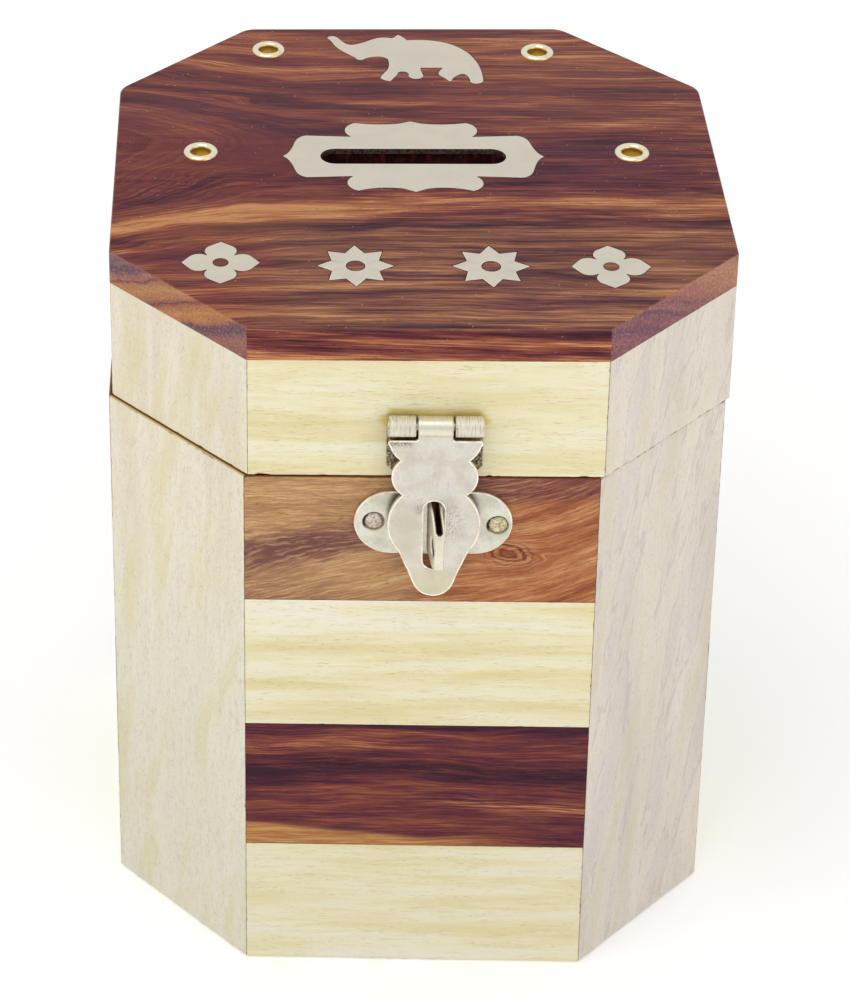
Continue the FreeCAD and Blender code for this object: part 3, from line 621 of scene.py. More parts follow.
def plate_figure(t, grain):
    """(figure, ring): the tree's rings where the plate's top cuts them, figure from 0 dark to 1 golden. The
    pith dives under the board from the left end: its rings make arches there and run level to the right."""
    x, y, _ = grain
    offset = y - PITH_Y
    front = t.remap(offset, 7.0, -7.0)
    start = front * 11.0 + 51.0                         # how far left of the middle the pith goes under
    rate = front * -0.006 - 0.06                        # how soon it levels out
    dive = 1.0 - t.math("EXPONENT", (x + start) * rate)
    depth = t.max(dive, 0.0) * PITH_DEPTH
    ring = t.length(offset, depth)
    ring += (streaks(t, grain, 26.0, 9.0, 2.0, 0.5, 41.0) - 0.5) * 5.0
    ring += (streaks(t, grain, 9.0, 2.6, 2.0, 0.5, 47.0) - 0.5) * 0.9
    scaled = ring * (1 / WIDEST_RING)
    before_slot = t.values(scaled, (0.00, 0.36), (0.26, 0.36), (0.34, 0.30), (0.40, 0.31), (0.445, 0.40),
                                   (0.46, 0.60), (0.485, 0.78), (0.51, 0.62), (0.53, 0.38),
                                   (0.548, 0.22), (0.575, 0.44), (0.60, 0.60), (0.63, 0.30),
                                   (0.67, 0.56), (0.70, 0.38), (0.75, 0.62), (0.79, 0.42), (0.84, 0.66),
                                   (0.88, 0.40), (0.93, 0.66), (1.0, 0.45))
    behind_slot = t.values(scaled, (0.00, 0.40), (0.22, 0.34), (0.30, 0.46), (0.36, 0.30), (0.41, 0.20),
                                   (0.45, 0.46), (0.48, 0.16), (0.52, 0.42), (0.56, 0.22), (0.60, 0.30),
                                   (0.645, 0.62), (0.69, 0.32), (0.75, 0.64), (0.80, 0.46), (0.85, 0.58),
                                   (0.91, 0.28), (1.0, 0.40))
    broad = before_slot * front + behind_slot * (1.0 - front)
    broad = (broad - 0.42) * t.remap(x, -22.0, 16.0, 0.5, start=0.95) + 0.42
    fine = t.noise(t.vector(ring * 1.15, x * 0.018, 3.7), 1.0, 4.0, 0.68)
    ringed = t.remap(ring, 12.0, 24.0, 0.6, start=0.25)
    return (broad + (fine - 0.5) * ringed, ring)


def corner_layers(t, x, y, z):
    """Colours of the plate's corner faces, where the wood's layers come out and climb slantwise towards the
    front and the back: slate, pink, gold and orange on the left, duller and more purple on the right."""
    wide = abs(x - LID_SHIFT / MM)
    along = (CORNER_START - wide + abs(y)) * math.sqrt(0.5)
    wobble = t.noise(t.vector(along * 0.14, z * 0.35, x * 0.02), 1.0, 3.0, 0.6)
    layer = along + (PLATE_TOP / MM - z) * 2.2 + (wobble - 0.5) * 6.0
    place = layer * (1 / 46.0)
    left = t.ramp(place, (0.0, 138, 92, 88), (0.1, 112, 82, 92), (0.17, 98, 72, 86),
                         (0.235, 156, 104, 94), (0.27, 146, 94, 84), (0.285, 114, 64, 62),
                         (0.31, 168, 116, 84), (0.37, 176, 125, 84), (0.44, 162, 105, 78),
                         (0.47, 108, 56, 70), (0.5, 154, 96, 68), (0.58, 184, 125, 74),
                         (0.64, 170, 110, 72), (0.69, 96, 68, 84), (0.74, 112, 74, 85),
                         (0.8, 150, 100, 90), (1.0, 128, 78, 74))
    right = t.ramp(place, (0.0, 124, 76, 84), (0.06, 166, 114, 102), (0.16, 176, 126, 100),
                          (0.28, 168, 114, 94), (0.38, 152, 96, 88), (0.45, 124, 77, 86),
                          (0.5, 148, 95, 95), (0.55, 108, 66, 83), (0.62, 136, 86, 92),
                          (0.7, 110, 68, 86), (0.8, 138, 86, 94), (1.0, 112, 66, 78))
    colour = t.mix(t.remap(x, -5.0, 5.0), left, right)
    hairs = streaks(t, (z, layer, 0.0), 5.0, 0.9, 3.0, 0.65, 19.0)
    speckle = t.noise(t.position(), 2.6, 3.0, 0.65)
    colour = t.mix(t.remap(hairs, 0.5, 0.7, 0.24), colour, (70, 34, 40))
    colour = t.mix(t.remap(hairs, 0.46, 0.3, 0.15), colour, (232, 184, 146))
    colour = t.mix(t.remap(speckle, 0.5, 0.66, 0.22), colour, (220, 174, 138))
    return t.mix(t.remap(speckle, 0.48, 0.34, 0.3), colour, (86, 46, 52))


def plate_rosewood():
    """The lid's plate: purple arches at the left, a golden streak from the left end that frays out to the
    right, a dark patch right of the slot and golden-brown wood in front and behind on the right."""
    t = Tree("plate_rosewood")
    x, y, z = t.axes(t.position())
    grain = bent(t, (x, y, z), 1.4, 30.0, 12.0)
    figure, ring = plate_figure(t, grain)
    curved = (x, ring, z)
    level_lines = streaks(t, grain, 13.0, 0.42, 4.0, 0.68, 5.0)
    curved_lines = streaks(t, curved, 13.0, 0.42, 4.0, 0.68, 5.0)
    level = t.remap(x, -34.0, -8.0)
    lines = level_lines * level + curved_lines * (1.0 - level)
    clouds = streaks(t, grain, 30.0, 4.0, 4.0, 0.6, 29.0)
    curl = t.remap(ring, 25.0, 14.0, 0.55, start=1.0)
    bands = streaks(t, grain, 34.0, 1.7, 3.0, 0.55, 37.0)
    cloudy = t.remap(x, -30.0, -8.0, 0.95, start=0.45)
    figure += (lines - 0.5) * curl * 1.25
    figure += (clouds - 0.5 + (bands - 0.5)) * cloudy
    calm_front = spot(t, x, y, (-36.0, -29.0), (17.0, 9.0)) * 0.6
    calm = t.max(spot(t, x, y, (-24.0, 3.0), (24.0, 13.0)), calm_front)
    contrast = 1.15 - calm * 0.85
    figure = (figure - 0.44) * contrast + 0.44
    gold = spot(t, x, y, (34.0, 37.0), (34.0, 10.0)) + spot(t, x, y, (42.0, -28.0), (30.0, 14.0)) * 0.9
    streak = spot(t, x, y - x * 0.16, (-30.0, -12.0), (34.0, 9.0))
    gloom = spot(t, x, y, (32.0, 2.0), (26.0, 12.0)) + spot(t, x, y, (-27.0, 8.0), (14.0, 14.0)) * 0.6
    gloom += spot(t, x, y, (19.0, -43.0), (18.0, 9.0)) * 0.55
    gloom += spot(t, x, y, (-36.0, -28.0), (15.0, 8.0)) * 0.6
    figure = figure + streak * 0.16 + (gold * 0.08 - gloom * 0.18)
    fibre = streaks(t, grain, 5.0, 0.24, 3.0, 0.65, 4.0)
    pore = pores(t, grain, 1.8, 0.26, 0.5)

    # Round the edge the board shows its layers: level ragged bands, slanting ones on the corner faces.
    normal = t.axes(t.normal())
    side = t.remap(normal[2], 0.8, 0.5)
    corner = side * t.remap(abs(normal[0]), 0.3, 0.5)
    layered = (x + y * 0.4, z + x * 0.02, 0.0)
    layers = streaks(t, layered, 30.0, 1.7, 3.0, 0.55, 11.0)
    hairs = streaks(t, layered, 11.0, 0.26, 3.0, 0.65, 19.0)
    edge = (layers - 0.5) * 1.7 + (hairs - 0.5) * 1.5
    edge += t.remap(z, 127.9, 125.6) * 0.18 + 0.34
    figure = figure * (1.0 - side) + edge * side

    olive = t.remap(y, -13.0, -22.0) * t.remap(x, -34.0, -16.0)
    olive = t.max(olive, t.remap(x, 6.0, 26.0) * 0.25) * (1.0 - side)
    colour = rosewood_colour(t, figure, fibre, pore, olive)
    patch = streaks(t, grain, 30.0, 9.0, 2.0, 0.5, 23.0)
    purple = t.max(t.remap(patch, 0.48, 0.68, 0.35), gloom * 0.55)
    colour = t.mix(purple * t.remap(figure, 0.75, 0.4) * 0.5, colour, (96, 46, 72))
    warm = gold * 0.2 + streak * 0.55
    colour = t.mix(warm * 0.5, colour, (174, 110, 62))
    colour = t.mix(t.remap(y, 4.0, 20.0) * 0.15, colour, (144, 92, 86))
    colour = t.mix(corner, colour, corner_layers(t, x, y, z))
    # Painted highlight: a faint light band along the plate's rounded top edge.
    rim = t.remap(z, 128.45, 128.8) * t.remap(normal[2], 0.98, 0.9)
    colour = t.mix(rim * 0.1, colour, (220, 168, 142))

    # Painted shade: the coin slot's sawn walls are painted nearly black.
    painted_slot_shade = t.remap(abs(x - SLOT_X), 17.5, 16.8) * t.remap(abs(y - SLOT_Y), 3.4, 3.0)
    painted_slot_shade *= t.remap(z, 128.9, 128.2)
    torn = t.noise(t.vector(x * 1.1, z * 0.5, y), 1.0, 3.0, 0.6)
    colour = t.mix(painted_slot_shade * 0.95, colour, t.mix(t.remap(torn, 0.45, 0.7), (26, 6, 10), (86, 30, 28)))
    dust = t.remap(t.voronoi(t.vector(x * 0.42, y * 0.42, z)), 0.075, 0.045)
    colour = t.mix(dust * 0.35, colour, (214, 190, 176))
    return wood(t, colour, fibre, pore, 0.46, sheen=0.12)


def dark_rosewood():
    """Third strip of every wall: deep maroon with a blackish band, orange lines and gold low at one end."""
    t = Tree("dark_rosewood")
    grain = bent(t, grain_space(t), 1.5, 24.0, 9.0)
    g, a, b = grain
    own = t.of_piece("figured")
    broad = streaks(t, grain, 30.0, 2.6, 4.0, 0.62)
    lines = streaks(t, grain, 10.0, 0.42, 4.0, 0.65, 6.0)
    figure = (broad - 0.5) * 1.15 + (lines - 0.5) + 0.38
    arch = 42.2 - (g - 26.0) ** 2.0 * 0.002
    dark = band(t, a - arch, 0.0, 4.2) + band(t, a, 50.2, 1.6) * t.remap(g, 14.0, 26.0)
    falling = band(t, a + g * 0.07, 37.7, 2.6)
    rising = band(t, a - g * 0.1, 44.8, 2.6)
    warm = falling * t.remap(g, 22.0, 40.0) + rising * 0.7 * t.remap(g, 34.0, 18.0)
    warm *= t.remap(lines, 0.35, 0.65, 1.2, start=0.2)
    figure += own * (warm * 0.3 - dark * 0.3)
    fibre = streaks(t, grain, 4.0, 0.2, 3.0, 0.65, 4.0)
    pore = pores(t, grain, 1.4, 0.22, 0.4)
    colour = rosewood_colour(t, figure, fibre, pore)
    colour = t.mix(t.remap(broad, 0.42, 0.6, 0.0, start=0.175), colour, (66, 26, 58))
    edge = 30.2 - g * 0.1 - a
    gold = t.remap(edge, -0.5, 1.1) * (t.remap(g, 46.0, 26.0) * (own * 0.75 + 0.25))
    gold_colour = t.mix(t.remap(lines, 0.4, 0.65), (170, 112, 64), (206, 156, 96))
    colour = t.mix(gold * 0.95, colour, gold_colour)
    return wood(t, soiled(t, colour, (44, 22, 20)), fibre, pore, 0.46, sheen=0.12)


def light_rosewood():
    """Top strip of every wall: orange-brown with fine wavy lines, a purple band and a small knot."""
    t = Tree("light_rosewood")
    grain = bent(t, grain_space(t), 0.9, 18.0, 8.0)
    g, a, b = grain
    own = t.of_piece("figured")
    # The lines turn round a knot low on the board and climb to the right of it and at the lower left.
    knot_g, knot_a = 42.6, 86.2
    away_g = (g - knot_g) * 0.58
    away_a = a - knot_a + away_g * 0.22
    knot = t.length(away_g, away_a)
    knot += (streaks(t, grain, 2.6, 1.3, 3.0, 0.6, 51.0) - 0.5) * 1.3
    near = t.remap(knot, 5.5, 0.6) * own
    climb = t.max(g - 27.0, 0.0) ** 2.0 * 0.0085
    lower = (28.0 - g) * t.remap(g, 34.0, 22.0) * t.remap(a, 93.0, 80.0, 0.24)
    side_of_knot = t.remap(away_a, -0.8, 0.8, 1.0, start=-1.0)
    bowed = a - climb + lower - near * side_of_knot * 1.9
    ripple = t.math("SINE", g * 2.1 + a * 0.9) * 0.04
    turned = (g, bowed + ripple, b)
    broad = streaks(t, turned, 24.0, 3.2, 4.0, 0.55)
    wavy = streaks(t, turned, 5.0, 0.30, 4.0, 0.68, 6.0)
    fibre = streaks(t, turned, 2.2, 0.13, 3.0, 0.65, 4.0)
    lively = t.remap(g, 32.0, 20.0, 1.6, start=1.1)
    shade_value = (broad - 0.5) * 0.95 + ((wavy - 0.5) * lively + 0.53)
    colour = t.ramp(shade_value, (0.12, 96, 44, 38), (0.32, 138, 76, 50), (0.48, 166, 100, 62),
                                 (0.62, 190, 128, 84), (0.78, 212, 162, 112), (0.92, 224, 184, 138))
    colour = t.mix(t.remap(g, 34.0, 46.0, 0.2), colour, (158, 82, 44))
    colour = t.mix(t.remap(g, 34.0, 22.0, 0.425), colour, (188, 162, 116))
    purple = band(t, a - g * 0.17, 85.6, 5.8) * t.remap(g, 30.0, 12.0, 1.5, start=0.05)
    corner = t.remap(a - g * 0.1, 90.2, 93.4) * (t.remap(g, 29.0, 38.0) * 1.25)
    low_left = t.remap(a, 84.0, 77.0) * t.remap(g, 26.0, 4.0)
    purple = (purple + corner + low_left * 0.6) * own
    purple = t.math("MULTIPLY", purple, t.remap(wavy, 0.68, 0.36, 1.0, start=0.35), clamp=True)
    colour = t.mix(purple * 0.76, colour, (92, 42, 60))
    rings = t.remap(t.math("SINE", knot * 8.0 + wavy * 3.5), 0.0, 0.9)
    colour = t.mix(own * (t.remap(knot, 3.2, 1.2) * (rings * 0.9)), colour, (88, 34, 26))
    colour = t.mix(own * t.remap(knot, 1.5, 0.3, 0.85), colour, (126, 54, 36))
    colour = t.mix(t.remap(fibre, 0.5, 0.75, 0.3), colour, (78, 36, 30))
    colour = t.mix(t.remap(fibre, 0.46, 0.26, 0.27), colour, (236, 196, 146))
    stroke = dashes(t, turned, 1.5, 0.2, 0.6, 0.68, 21.0)
    colour = t.mix(stroke * 0.45, colour, (84, 38, 32))
    return wood(t, soiled(t, colour, (58, 28, 20)), fibre, stroke, 0.48, sheen=0.15)


def floor_wood():
    """Thin pale board that closes the case from below."""
    t = Tree("floor_wood")
    x, y, z = t.axes(t.position())
    grain = bent(t, (x, y, z), 3.0)
    broad = streaks(t, grain, 50.0, 9.0, 3.0, 0.6)
    fibre = streaks(t, grain, 8.0, 0.4, 3.0, 0.65, 4.0)
    colour = t.ramp(broad, (0.3, 205, 184, 146), (0.55, 218, 199, 162), (0.75, 228, 212, 180))
    colour = t.mix(t.remap(fibre, 0.5, 0.8, 0.3), colour, (178, 150, 108))
    pore = pores(t, grain, 2.6, 0.3, 0.4)
    colour = t.mix(pore * 0.4, colour, (142, 114, 78))
    return wood(t, colour, fibre, pore, 0.6)


# ---------------------------------------------------------------- metal and filler

def scratches(t, place, angle, fineness):
    """1 on a few thin straight scratches that run at that angle in the plane of the sheet."""
    turned = t.new("VectorRotate", {"Vector": place, "Axis": (0, 1, 0), "Angle": math.radians(angle)},
                   rotation_type="AXIS_ANGLE")
    lines = t.noise(t.scaled(turned, 0.16, 1.0, fineness), 1.0, 2.0, 0.5, 0.2)
    return t.remap(lines, 0.70, 0.78)


def barrel_marks(t):
    """(share, marks): 1 on the hasp's rolled barrel, and the fine marks round its outer knuckles."""
    x, y, z = t.axes(t.position())
    share = t.remap(z, BARREL_Z - 1.2, BARREL_Z - 0.9) * t.remap(y, -50.9, -51.2)
    marks = t.noise(t.vector(x * 5.0, y * 0.5, z * 0.5), 1.0, 3.0, 0.65)
    outer = t.remap(abs(x - HASP_X), 2.7, 3.0, 1.0, start=0.3)
    return (share, (marks - 0.5) * outer + 0.5)


def hasp_flaws(t, colour, grit):
    """The flap's plating: rusty at the left shoulder, beside the slot and in the barrel's joints, grey where
    the staple has rubbed, brushed above the slot and olive at the tip."""
    x, y, z = t.axes(t.position())
    x -= HASP_X
    rubbed = t.max(spot(t, x, z, (3.0, 94.5), (3.2, 6.0)), spot(t, x, z, (-2.2, 97.2), (1.6, 2.6)))
    speckle = t.noise(t.position(), 6.5, 3.0, 0.7)
    colour = t.mix(rubbed * t.remap(speckle, 0.5, 0.6) * 0.75, colour, (128, 116, 104))
    brushed = t.noise(t.vector(x * 7.0, 0.0, z * 0.35), 1.0, 2.0, 0.5)
    brushed = t.remap(brushed, 0.55, 0.66) * spot(t, x, z, (1.0, 101.0), (3.5, 5.5))
    colour = t.mix(brushed * 0.45, colour, (150, 142, 132))
    colour = t.mix(t.remap(z, 87.5, 82.5, 0.6), colour, (212, 204, 164))
    colour = t.mix(spot(t, x, z, (-4.4, 92.0), (3.4, 8.0)) * 0.6, colour, (202, 194, 168))
    shoulder = band(t, z, 109.6, 1.5) * t.remap(x, -2.8, -4.2)
    beside = spot(t, x, z, (-2.3, 96.8), (0.9, 1.5))
    joints = band(t, abs(x), 2.92, 0.5) * t.remap(z, 109.6, 110.4)
    ends = t.remap(x, -7.0, -7.5) * t.remap(z, 109.8, 110.4)
    rust = shoulder * 0.9 + beside + (joints + ends)
    rusty = t.remap(grit, 0.5 - shoulder * 0.05, 0.58 - shoulder * 0.06)
    rust *= rusty * t.remap(y, -49.0, -50.0)
    return t.mix(rust * 0.95, colour, (88, 40, 26))


def leaf_flaws(t, colour, grit):
    """The leaf under the flap: coarse dark patina with bright specks below the barrel."""
    coarse = t.noise(t.position(), 2.4, 3.0, 0.7)
    patina = t.ramp(coarse, (0.38, 40, 28, 18), (0.5, 112, 94, 70), (0.64, 222, 208, 178))
    below = t.remap(t.axes(t.position())[2], 110.2, 109.8)
    return hasp_flaws(t, t.mix(below * 0.85, colour, patina), grit)


def away_from(t, centre_x, centre_z):
    """Distance in millimetres from a place (in metres) on the front."""
    x, _, z = t.axes(t.position())
    return t.length(x - centre_x / MM, z - centre_z / MM)


def sunk_seats(t, colour, grit):
    """Grime and painted shade round the nails' heads in the staple plate's seats, and painted shade inside
    the staple's folded loop.
    """
    x, y, _ = t.axes(t.position())
    loop_x = x - HASP_X + (y + 50.0) * LOOP_LEAN
    # Painted shade inside the staple's folded loop.
    inside = t.remap(abs(loop_x), 0.62, 0.55) * t.remap(y, -56.9, -56.6)
    colour = t.mix(inside, colour, (62, 22, 14))
    # Grime and painted shade in the seats round the nails' heads.
    grime_and_shade = t.mix(t.remap(grit, 0.4, 0.6), (46, 32, 22), (104, 82, 52))
    for nail_x, nail_z in NAIL_PLACES:
        seat = t.remap(away_from(t, nail_x, nail_z), 1.85, 1.75) * t.remap(y, -50.98, -50.9)
        colour = t.mix(seat, colour, grime_and_shade)
    return colour


def painted_edge_highlight():
    """Painted highlight: sheet metal shines warm white along its outline. The edges of the nails' seats
    carry a painted shadow on their upper left."""
    t = Tree("painted_edge_highlight")
    x, y, z = t.axes(t.position())
    cloud = t.noise(t.position(), 0.8, 3.0, 0.6)
    colour = t.mix(t.remap(cloud, 0.42, 0.7), (255, 247, 226), (236, 208, 176))
    for nail_x, nail_z in NAIL_PLACES:
        # Painted shadow: a dark crescent on the upper left of each nail seat's edge.
        near = t.remap(away_from(t, nail_x, nail_z), 2.2, 2.1) * t.remap(y, -49.0, -50.0)
        painted_crescent_shadow = t.remap(z - nail_z / MM - (x - nail_x / MM), -0.6, 1.2)
        colour = t.mix(near, colour, t.mix(painted_crescent_shadow, (214, 206, 184), (64, 46, 32)))
    return t.finish(Base_Color=colour, Metallic=0.25, Roughness=0.4, Normal=t.bump(cloud, 0.02 * MM, 0.5))


def nickel(name, light, dull, rough=0.36, tint=0.4, wear=0.5, metallic=1.0, flaws=None):
    """Thin dull plating on sheet steel: mottled, stained, scratched and pitted, and streaked where it is
    rolled into a barrel. flaws adds a piece's own marks to the colour."""
    t = Tree(name)
    place = t.position()
    cloud = t.noise(place, 0.28, 4.0, 0.6)
    mottle = t.noise(place, 1.6, 4.0, 0.65)
    grit = t.noise(place, 5.0, 4.0, 0.7)
    speck = t.noise(place, 7.0, 2.0, 0.6)
    colour = t.mix(t.remap(cloud, 0.4, 0.66, tint), light, dull)
    colour = t.mix(t.remap(mottle, 0.5, 0.7, tint * 0.6), colour, dull)
    colour = t.mix(t.remap(grit, 0.5, 0.72, tint * 0.8), colour, t.mix(0.5, dull, (120, 108, 88)))
    colour = t.mix(t.remap(speck, 0.62, 0.72, wear), colour, (112, 94, 70))
    lines = t.max(scratches(t, place, 18, 9.0), scratches(t, place, 96, 8.0))
    lines = t.max(lines, scratches(t, place, -37, 7.0))
    colour = t.mix(lines * 0.25, colour, (150, 138, 116))
    rolled, marks = barrel_marks(t)
    streaked = t.mix(t.remap(marks, 0.46, 0.72), (234, 229, 212), (184, 172, 136))
    colour = t.mix(rolled * 0.85, colour, streaked)
    if flaws:
        colour = flaws(t, colour, grit)
    height = (mottle + grit * 0.4) * 0.35 - (lines * 0.4 + rolled * marks)
    roughness = cloud * 0.2 + (lines * 0.12 + (rough - 0.1))
    return t.finish(Base_Color=colour, Metallic=metallic, Roughness=roughness,
                    Normal=t.bump(height, 0.02 * MM, 0.7))


def nail_metal():
    """Hammered nail heads, pinkish grey left of the hasp's middle and golden olive right of it."""
    t = Tree("nail_metal")
    place = t.position()
    grit = t.noise(place, 2.6, 4.0, 0.7)
    fine = t.noise(place, 7.0, 3.0, 0.65)
    golden = t.remap(t.axes(place)[0] - HASP_X, -1.0, 1.0)
    light = t.mix(golden, (220, 208, 196), (224, 214, 182))
    dark = t.mix(golden, (158, 136, 120), (164, 146, 100))
    colour = t.mix(t.remap(grit, 0.42, 0.62), light, dark)
    colour = t.mix(t.remap(fine, 0.58, 0.7, 0.4), colour, (96, 76, 60))
    height = grit * 0.8 + fine * 0.3
    return t.finish(Base_Color=colour, Metallic=0.9, Roughness=fine * 0.2 + 0.32,
                    Normal=t.bump(height, 0.08 * MM, 0.7))


def inlay_metal():
    """White-metal inlay sanded flush with the wood: satin, with a haze of fine sanding lines, and brown and
    ragged where it is cut through."""
    t = Tree("inlay_metal")
    place = t.position()
    x, y, z = t.axes(place)
    sanding = t.noise(t.vector(x * 0.35, y * 7.0, z), 1.0, 3.0, 0.6)
    cloud = t.noise(place, 0.22, 3.0, 0.6)
    colour = t.mix(t.remap(cloud, 0.4, 0.7, 0.5), (236, 228, 212), (224, 217, 204))
    colour = t.mix(t.remap(sanding, 0.55, 0.8, 0.18), colour, (176, 164, 146))
    pits = t.remap(t.noise(place, 4.5, 2.0, 0.5), 0.74, 0.8)
    colour = t.mix(pits * 0.7, colour, (110, 84, 66))
    cut = t.remap(t.axes(t.normal())[2], 0.5, 0.3)
    ragged = t.noise(t.vector(x * 1.4, y, z * 1.4), 1.0, 4.0, 0.65)
    colour = t.mix(cut, colour, t.mix(t.remap(ragged, 0.42, 0.6), (98, 76, 66), (46, 28, 26)))
    height = sanding * 0.4 - pits
    rough = sanding * 0.15 + (cut * 0.3 + 0.34)
    return t.finish(Base_Color=colour, Metallic=1.0 - cut * 0.6, Roughness=rough,
                    Normal=t.bump(height, 0.01 * MM, 0.6))


def brass():
    """Bright eyelet brass with faint turning marks: a painted highlight whitens the rim, a painted glow
    lights its deep yellow inside.
    """
    t = Tree("brass")
    place = t.position()
    height = t.axes(place)[2] - PLATE_TOP / MM
    cloud = t.noise(place, 0.9, 3.0, 0.6)
    marks = t.noise(place, 9.0, 2.0, 0.5)
    patch = t.noise(place, 0.35, 2.0, 0.5)
    # Painted highlight: the top of the rim is painted nearly white.
    colour = t.mix(t.remap(height, 0.0, 0.30), (222, 176, 84), (255, 247, 222))
    colour = t.mix(t.remap(cloud, 0.5, 0.7, 0.3), colour, (222, 186, 118))
    inside = t.remap(height, 0.05, -0.15)
    yellow = t.mix(t.remap(patch, 0.4, 0.6), (226, 186, 60), (196, 128, 48))
    deep = t.mix(t.remap(height, -0.2, -1.7), (112, 84, 22), yellow)
    colour = t.mix(inside, colour, t.mix(t.remap(marks, 0.55, 0.7, 0.5), deep, (112, 76, 24)))
    # Painted light: the inside of the eyelet glows, less deeper down.
    painted_glow = inside * t.remap(height, -3.4, -0.2, 1.0, start=0.1) * 0.36
    rough = marks * 0.1 + (inside * 0.3 + 0.2)
    return t.finish(Base_Color=colour, Metallic=1.0 - inside * 0.7, Roughness=rough, Emission_Color=colour,
                    Emission_Strength=painted_glow, Normal=t.bump(marks, 0.01 * MM, 0.5))


def filler_paste():
    """Dark paste of glue and dust that beds the inlays."""
    t = Tree("filler_paste")
    place = t.position()
    grit = t.noise(place, 3.0, 4.0, 0.7)
    colour = t.ramp(grit, (0.3, 44, 22, 22), (0.55, 66, 32, 28), (0.75, 92, 50, 40))
    return t.finish(Base_Color=colour, Roughness=grit * 0.3 + 0.5, Normal=t.bump(grit, 0.05 * MM, 0.8))


# ---------------------------------------------------------------- dressing

def dress(obj, material):
    obj.data.materials.clear()
    obj.data.materials.append(material)


def soften(obj, width, rim=None):
    """Rounds a CAD node's sharp edges. Its faces are joined first, because they were loaded apart. The
    rounded edges take the rim material if one is given."""
    weld = obj.modifiers.new("joined", "WELD")
    weld.merge_threshold = 0.002 * MM
    bevel = obj.modifiers.new("softened", "BEVEL")
    bevel.width = width
    bevel.segments = 2
    bevel.limit_method = "ANGLE"
    bevel.angle_limit = math.radians(35)
    if rim:
        obj.data.materials.append(rim)
        bevel.material = 1
    normals = obj.modifiers.new("normals", "WEIGHTED_NORMAL")
    normals.keep_sharp = True


def dress_boards(boards):
    pale, corner = pale_wood(), corner_wood()
    by_number = {"1": light_rosewood(), "2": pale, "3": dark_rosewood(), "4": pale}
    for node, piece in boards.items():
        piece["figured"] = 1.0 if node.startswith("front") else 0.3
        if "corner" in node:
            dress(piece, corner)
            piece["pink"] = 1.0 if "front_right" in node or "back_left" in node else 0.15
        elif node.endswith("_rail"):
            dress(piece, pale)
        else:
            dress(piece, by_number[node[-1]])


def dress_cad():
    nodes = frame["nodes"]
    dress(nodes["lid_plate"], plate_rosewood())
    dress(nodes["floor"], floor_wood())
    # edge is the painted edge highlight for the rims of the inlays, the staple and the flap.
    inlay, edge = inlay_metal(), painted_edge_highlight()
    ornaments = sorted(name for name in nodes if name.startswith("ornament_"))
    for name in ["slot_plate", "elephant_inlay"] + ornaments:
        dress(nodes[name], inlay)
        soften(nodes[name], 0.12 * MM, rim=edge)
    dress(nodes["brass_eyelets"], brass())

    steel = nail_metal()
    flap = nickel("flap_plating", (219, 214, 204), (190, 181, 164), tint=0.45, flaws=hasp_flaws)
    plate = nickel("staple_plating", (222, 219, 206), (184, 180, 160), tint=0.6, flaws=sunk_seats)
    loop = nickel("loop_plating", (236, 230, 212), (214, 204, 176), tint=0.4, metallic=0.45,
                  flaws=sunk_seats)
    leaf = nickel("leaf_plating", (190, 170, 140), (52, 36, 20), 0.5, tint=1.0, wear=0.9, metallic=0.6,
                  flaws=leaf_flaws)
    hinge = nickel("hinge_plating", (204, 196, 178), (160, 142, 112), 0.4, tint=0.6)
    looks = {"hasp_flap": (flap, 0.16, None), "staple_plate": (plate, 0.22, edge),
             "staple_loop": (loop, 0.12, edge), "hasp_leaf": (leaf, 0.10, None)}
    for name in sorted(nodes):
        if name.endswith(("_nails", "_pin")):
            dress(nodes[name], steel)
            soften(nodes[name], 0.10 * MM)
        elif name in looks or name.startswith("hinge_"):
            material, width, rim = looks.get(name, (hinge, 0.10, None))
            dress(nodes[name], material)
            soften(nodes[name], width * MM, rim=rim)
    painted_highlight_rim("hasp_flap", edge, 0.22 * MM, 0.012 * MM, BARREL_Z * MM - 1.6 * MM)
    return ornaments, steel


def hammered_nails(node, steel):
    """The staple plate's two nails: uneven flattened heads that sit a little low in their seats."""
    radius, out = NAIL_RADIUS * 1.05, NAIL_LOW.y
    turns, rings = 28, 6
    verts, faces = [], []
    for number, (nail_x, nail_z) in enumerate(NAIL_PLACES):
        base = len(verts)
        centre_x, centre_z = nail_x - 0.03 * MM, nail_z - 0.07 * MM
        verts.append((centre_x, out, centre_z))
        for ring in range(1, rings + 1):
            share = ring / rings
            for turn in range(turns):
                angle = math.tau * turn / turns
                uneven = noise.noise(Vector((math.cos(angle) * 1.3, math.sin(angle) * 1.3, 4.0 + number)))
                reach = radius * share * (1 + 0.05 * uneven)
                x, z = math.cos(angle) * reach, math.sin(angle) * reach
                dent = noise.noise(Vector((x / MM * 1.7, z / MM * 1.7, 8.0 + number))) * 0.12 * MM
                sink = 0.32 * MM * max(0.0, share - 0.72) ** 2 / 0.28 ** 2
                verts.append((centre_x + x, out + max(0.0, dent + sink + 0.05 * MM), centre_z + z))
        for turn in range(turns):
            angle = math.tau * turn / turns
            x, z = math.cos(angle) * radius * 0.96, math.sin(angle) * radius * 0.96
            verts.append((centre_x + x, out + 1.0 * MM, centre_z + z))
        for turn in range(turns):
            following = (turn + 1) % turns
            faces.append((base, base + 1 + turn, base + 1 + following))
            for ring in range(rings):
                at = base + 1 + ring * turns
                faces.append((at + turn, at + turns + turn, at + turns + following, at + following))
        faces.append(tuple(base + 1 + rings * turns + turn for turn in range(turns)))
    heads = new_object("hammered_nail_heads", verts, faces, "case")
    shade(heads.data, 50)
    dress(heads, steel)
    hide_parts(node)


